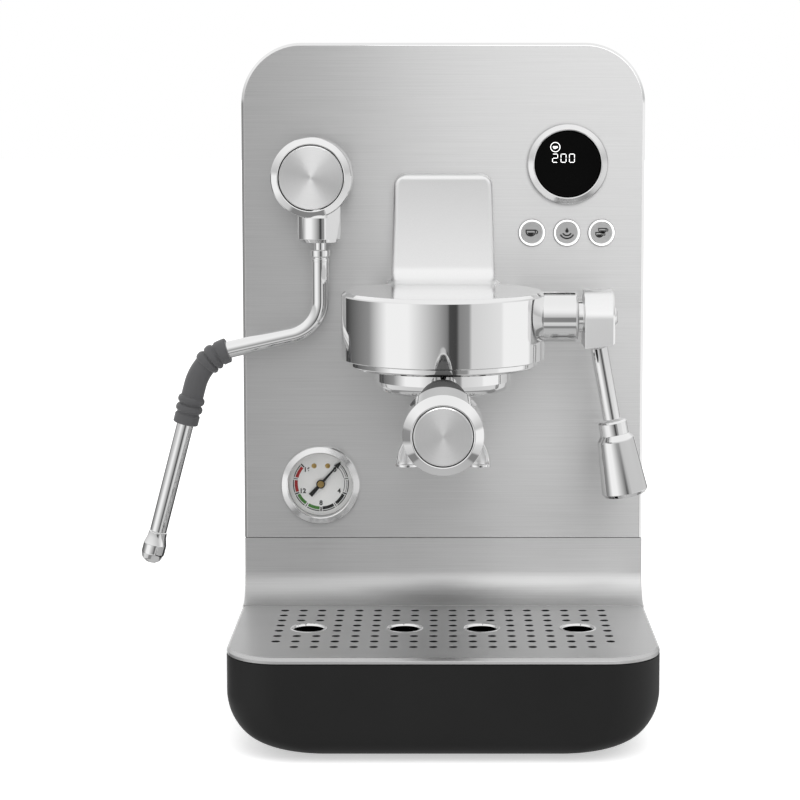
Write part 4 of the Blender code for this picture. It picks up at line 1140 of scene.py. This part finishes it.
def buttons():
    edge = 7.75  # the lit part's outer radius, with a thin grey outline round it
    ring = [(6.7, -6), (6.7, 1.5, 0.2), (7.2, 2.1, 0.3), (edge, 1.7), (8.2, 1.3, 0.2), (8.2, GAP), (7.4, GAP),
            (7.4, -6)]
    cap = [(0, 1.3), (5.9, 1.3, 0.4), (6.4, 0.9, 0.2), (6.4, -8), (0, -8)]
    face = -1.3
    icons = {
        "left": lambda shape, x: draw_cup(shape, x - 0.7, BUTTON_Z + 0.2, 3.1, face),
        "middle": lambda shape, x: draw_drop(shape, x, BUTTON_Z - 0.2, face),
        "right": lambda shape, x: (draw_cup(shape, x + 0.5, BUTTON_Z + 1.5, 2.5, face),
                                   draw_cup(shape, x - 1.2, BUTTON_Z - 0.9, 2.5, face)),
    }
    for side, x in BUTTON_X.items():
        on_panel(f"light_ring_{side}", ring, x, BUTTON_Z, ["lit_plastic", "grey_plastic"], "root", "lit_plastic",
                 [f"button_ring_{side}"], steps=64, closed=True, bands=lambda radius, height: int(radius > edge))
        on_panel(f"button_cap_{side}", cap, x, BUTTON_Z, "grey_plastic", f"{side}_button", "grey_plastic",
                 [f"button_{side}"], steps=64)
        print_on(f"button_icon_{side}", "ink", f"{side}_button",
                 lambda shape: icons[side](shape, x))


# ---------------------------------------------------------------- studio


def studio():
    scene = bpy.context.scene
    scene.view_settings.view_transform = "Standard"

    world = bpy.data.worlds.new("studio")
    scene.world = world
    world.use_nodes = True
    world.cycles.sampling_method = "NONE"
    tree = world.node_tree
    tree.nodes.clear()

    def node(kind, links=(), **settings):
        made = tree.nodes.new("ShaderNode" + kind)
        for name, value in settings.items():
            setattr(made, name, value)
        for socket, value in dict(links).items():
            if isinstance(value, bpy.types.NodeSocket):
                tree.links.new(value, made.inputs[socket])
            else:
                made.inputs[socket].default_value = value
        return made

    def ramp(factor, stops, mode="EASE"):
        made = node("ValToRGB", {"Fac": factor})
        made.color_ramp.interpolation = mode
        elements = made.color_ramp.elements
        for index, (place, value) in enumerate(stops):
            stop = elements[index] if index < 2 else elements.new(place)
            stop.position = place
            stop.color = (value, value, value, 1.0)
        return made.outputs["Color"]

    parts = node("SeparateXYZ", {"Vector": node("TexCoord").outputs["Generated"]})
    x, y, z = (parts.outputs[axis] for axis in "XYZ")
    toward = node("Math", {0: y, 1: -1.0}, operation="MULTIPLY").outputs[0]
    azimuth = node("Math", {0: x, 1: toward}, operation="ARCTAN2").outputs[0]
    share = node("Math", {0: azimuth, 1: 1 / math.tau, 2: 0.5}, operation="MULTIPLY_ADD").outputs[0]
    panels = [(-180, 1.0), (-146, 1.0), (-142, 0.04), (-92, 0.30), (-72, 0.85), (-66, 1.0), (-40, 1.0), (5, 0.22),
              (7, 0.07), (15, 0.06), (18, 0.26), (29, 0.32), (32, 0.72), (68, 0.85), (72, 1.0), (112, 1.0),
              (116, 0.7), (142, 0.6), (146, 0.10), (156, 0.10), (160, 1.0), (180, 1.0)]
    bands = ramp(share, [(angle / 360 + 0.5, value) for angle, value in panels], "LINEAR")
    height = node("Math", {0: z, 1: 0.5, 2: 0.5}, operation="MULTIPLY_ADD").outputs[0]
    caps = ramp(height, [(0.0, 0.55), (0.12, 0.50), (0.135, 0.25), (0.19, 0.25), (0.21, 0.65), (0.32, 0.80),
                         (0.36, 0.85), (0.50, 0.60), (0.565, 0.64), (0.71, 0.93), (0.80, 1.0), (1.0, 0.95)], "LINEAR")
    mask = ramp(height, [(0.0, 1.0), (0.30, 1.0), (0.36, 0.0), (0.50, 0.0), (0.54, 1.0), (1.0, 1.0)], "LINEAR")
    glossy = node("MixRGB", {"Fac": mask, "Color1": bands, "Color2": caps}).outputs[0]
    path = node("LightPath")
    soft = node("MixRGB", {"Fac": path.outputs["Is Glossy Ray"], "Color1": (0.85, 0.85, 0.85, 1), "Color2": glossy})
    seen = node("MixRGB", {"Fac": path.outputs["Is Camera Ray"], "Color1": soft.outputs[0], "Color2": (1, 1, 1, 1)})
    sky = node("Background", {"Color": seen.outputs[0], "Strength": 1.0})
    output = node("OutputWorld")
    tree.links.new(sky.outputs[0], output.inputs["Surface"])

    shape = bmesh.new()
    reach = 12.0  # metres from the object to the floor's edge
    corners = [shape.verts.new((x * reach, y * reach, 0.0)) for x, y in ((-1, -1), (1, -1), (1, 1), (-1, 1))]
    shape.faces.new(corners)
    mesh = bpy.data.meshes.new("floor")
    shape.to_mesh(mesh)
    shape.free()
    look = Nodes("floor_white", grey(0.86), 0.9, 0.0, Emission_Strength=0.5)
    look.shader.inputs["Emission Color"].default_value = (1, 1, 1, 1)
    look.drive("Roughness", look.between(look.grain((2, 2, 2)), 0.85, 0.95))
    mesh.materials.append(look.material)
    floor = bpy.data.objects.new("floor", mesh)
    scene.collection.objects.link(floor)
    floor.visible_glossy = False

    def softbox(name, place, target, width, height_, radiance, only=()):
        light = bpy.data.lights.new(name, "AREA")
        light.shape = "RECTANGLE"
        light.size, light.size_y = width, height_
        light.energy = radiance * math.pi * width * height_
        made = bpy.data.objects.new(name, light)
        scene.collection.objects.link(made)
        made.location = spot(*place)
        way = spot(*target) - made.location
        made.rotation_euler = way.to_track_quat("-Z", "Y").to_euler()
        made.visible_camera = False
        made.visible_glossy = bool(only)
        if only:
            receivers = bpy.data.collections.new(name + "_receivers")
            for piece_name in only:
                receivers.objects.link(bpy.data.objects[piece_name])
            made.light_linking.receiver_collection = receivers

    softbox("key", (750, -900, 900), (60, 0, 230), 0.9, 1.1, 1.2)
    softbox("top", (0, -300, 1500), (0, 0, 100), 1.4, 1.2, 1.5)
    sheets = ("panel", "splash_panel", "grille")
    softbox("wash_wide", (270, -900, 450), (270, 0, 450), 0.70, 0.9, 0.75, sheets)
    softbox("wash_right", (355, -900, 450), (355, 0, 450), 0.53, 0.9, 1.5, sheets)
    softbox("wash_high", (330, -900, 680), (330, 0, 680), 0.6, 0.45, 1.3, ("panel",))
    block = ("lever_body", "spout_lining_left", "spout_lining_right")
    softbox("wash_block", (150, -900, 300), (150, 0, 300), 0.8, 0.6, 0.3, block)
    softbox("wash_discs", (-60, -650, 1000), (-40, -100, 250), 0.9, 0.5, 3.0, ("boss_cap", "cap"))

    lens = bpy.data.cameras.new("camera")
    lens.sensor_width = 36.0
    lens.lens = 94.9
    lens.shift_x, lens.shift_y = -0.054, -0.13
    camera = bpy.data.objects.new("camera", lens)
    scene.collection.objects.link(camera)
    camera.location = spot(0, -1257, 357.8)
    camera.rotation_euler = (math.pi / 2 - 0.0913, 0, 0)
    scene.camera = camera


front_panel()
splash_panel()
casing()
base()
drip_tray()
grille()
back_of_machine()
top_of_machine()
group()
portafilter()
steam_lever()
steam_wand()
gauge()
display()
buttons()
studio()
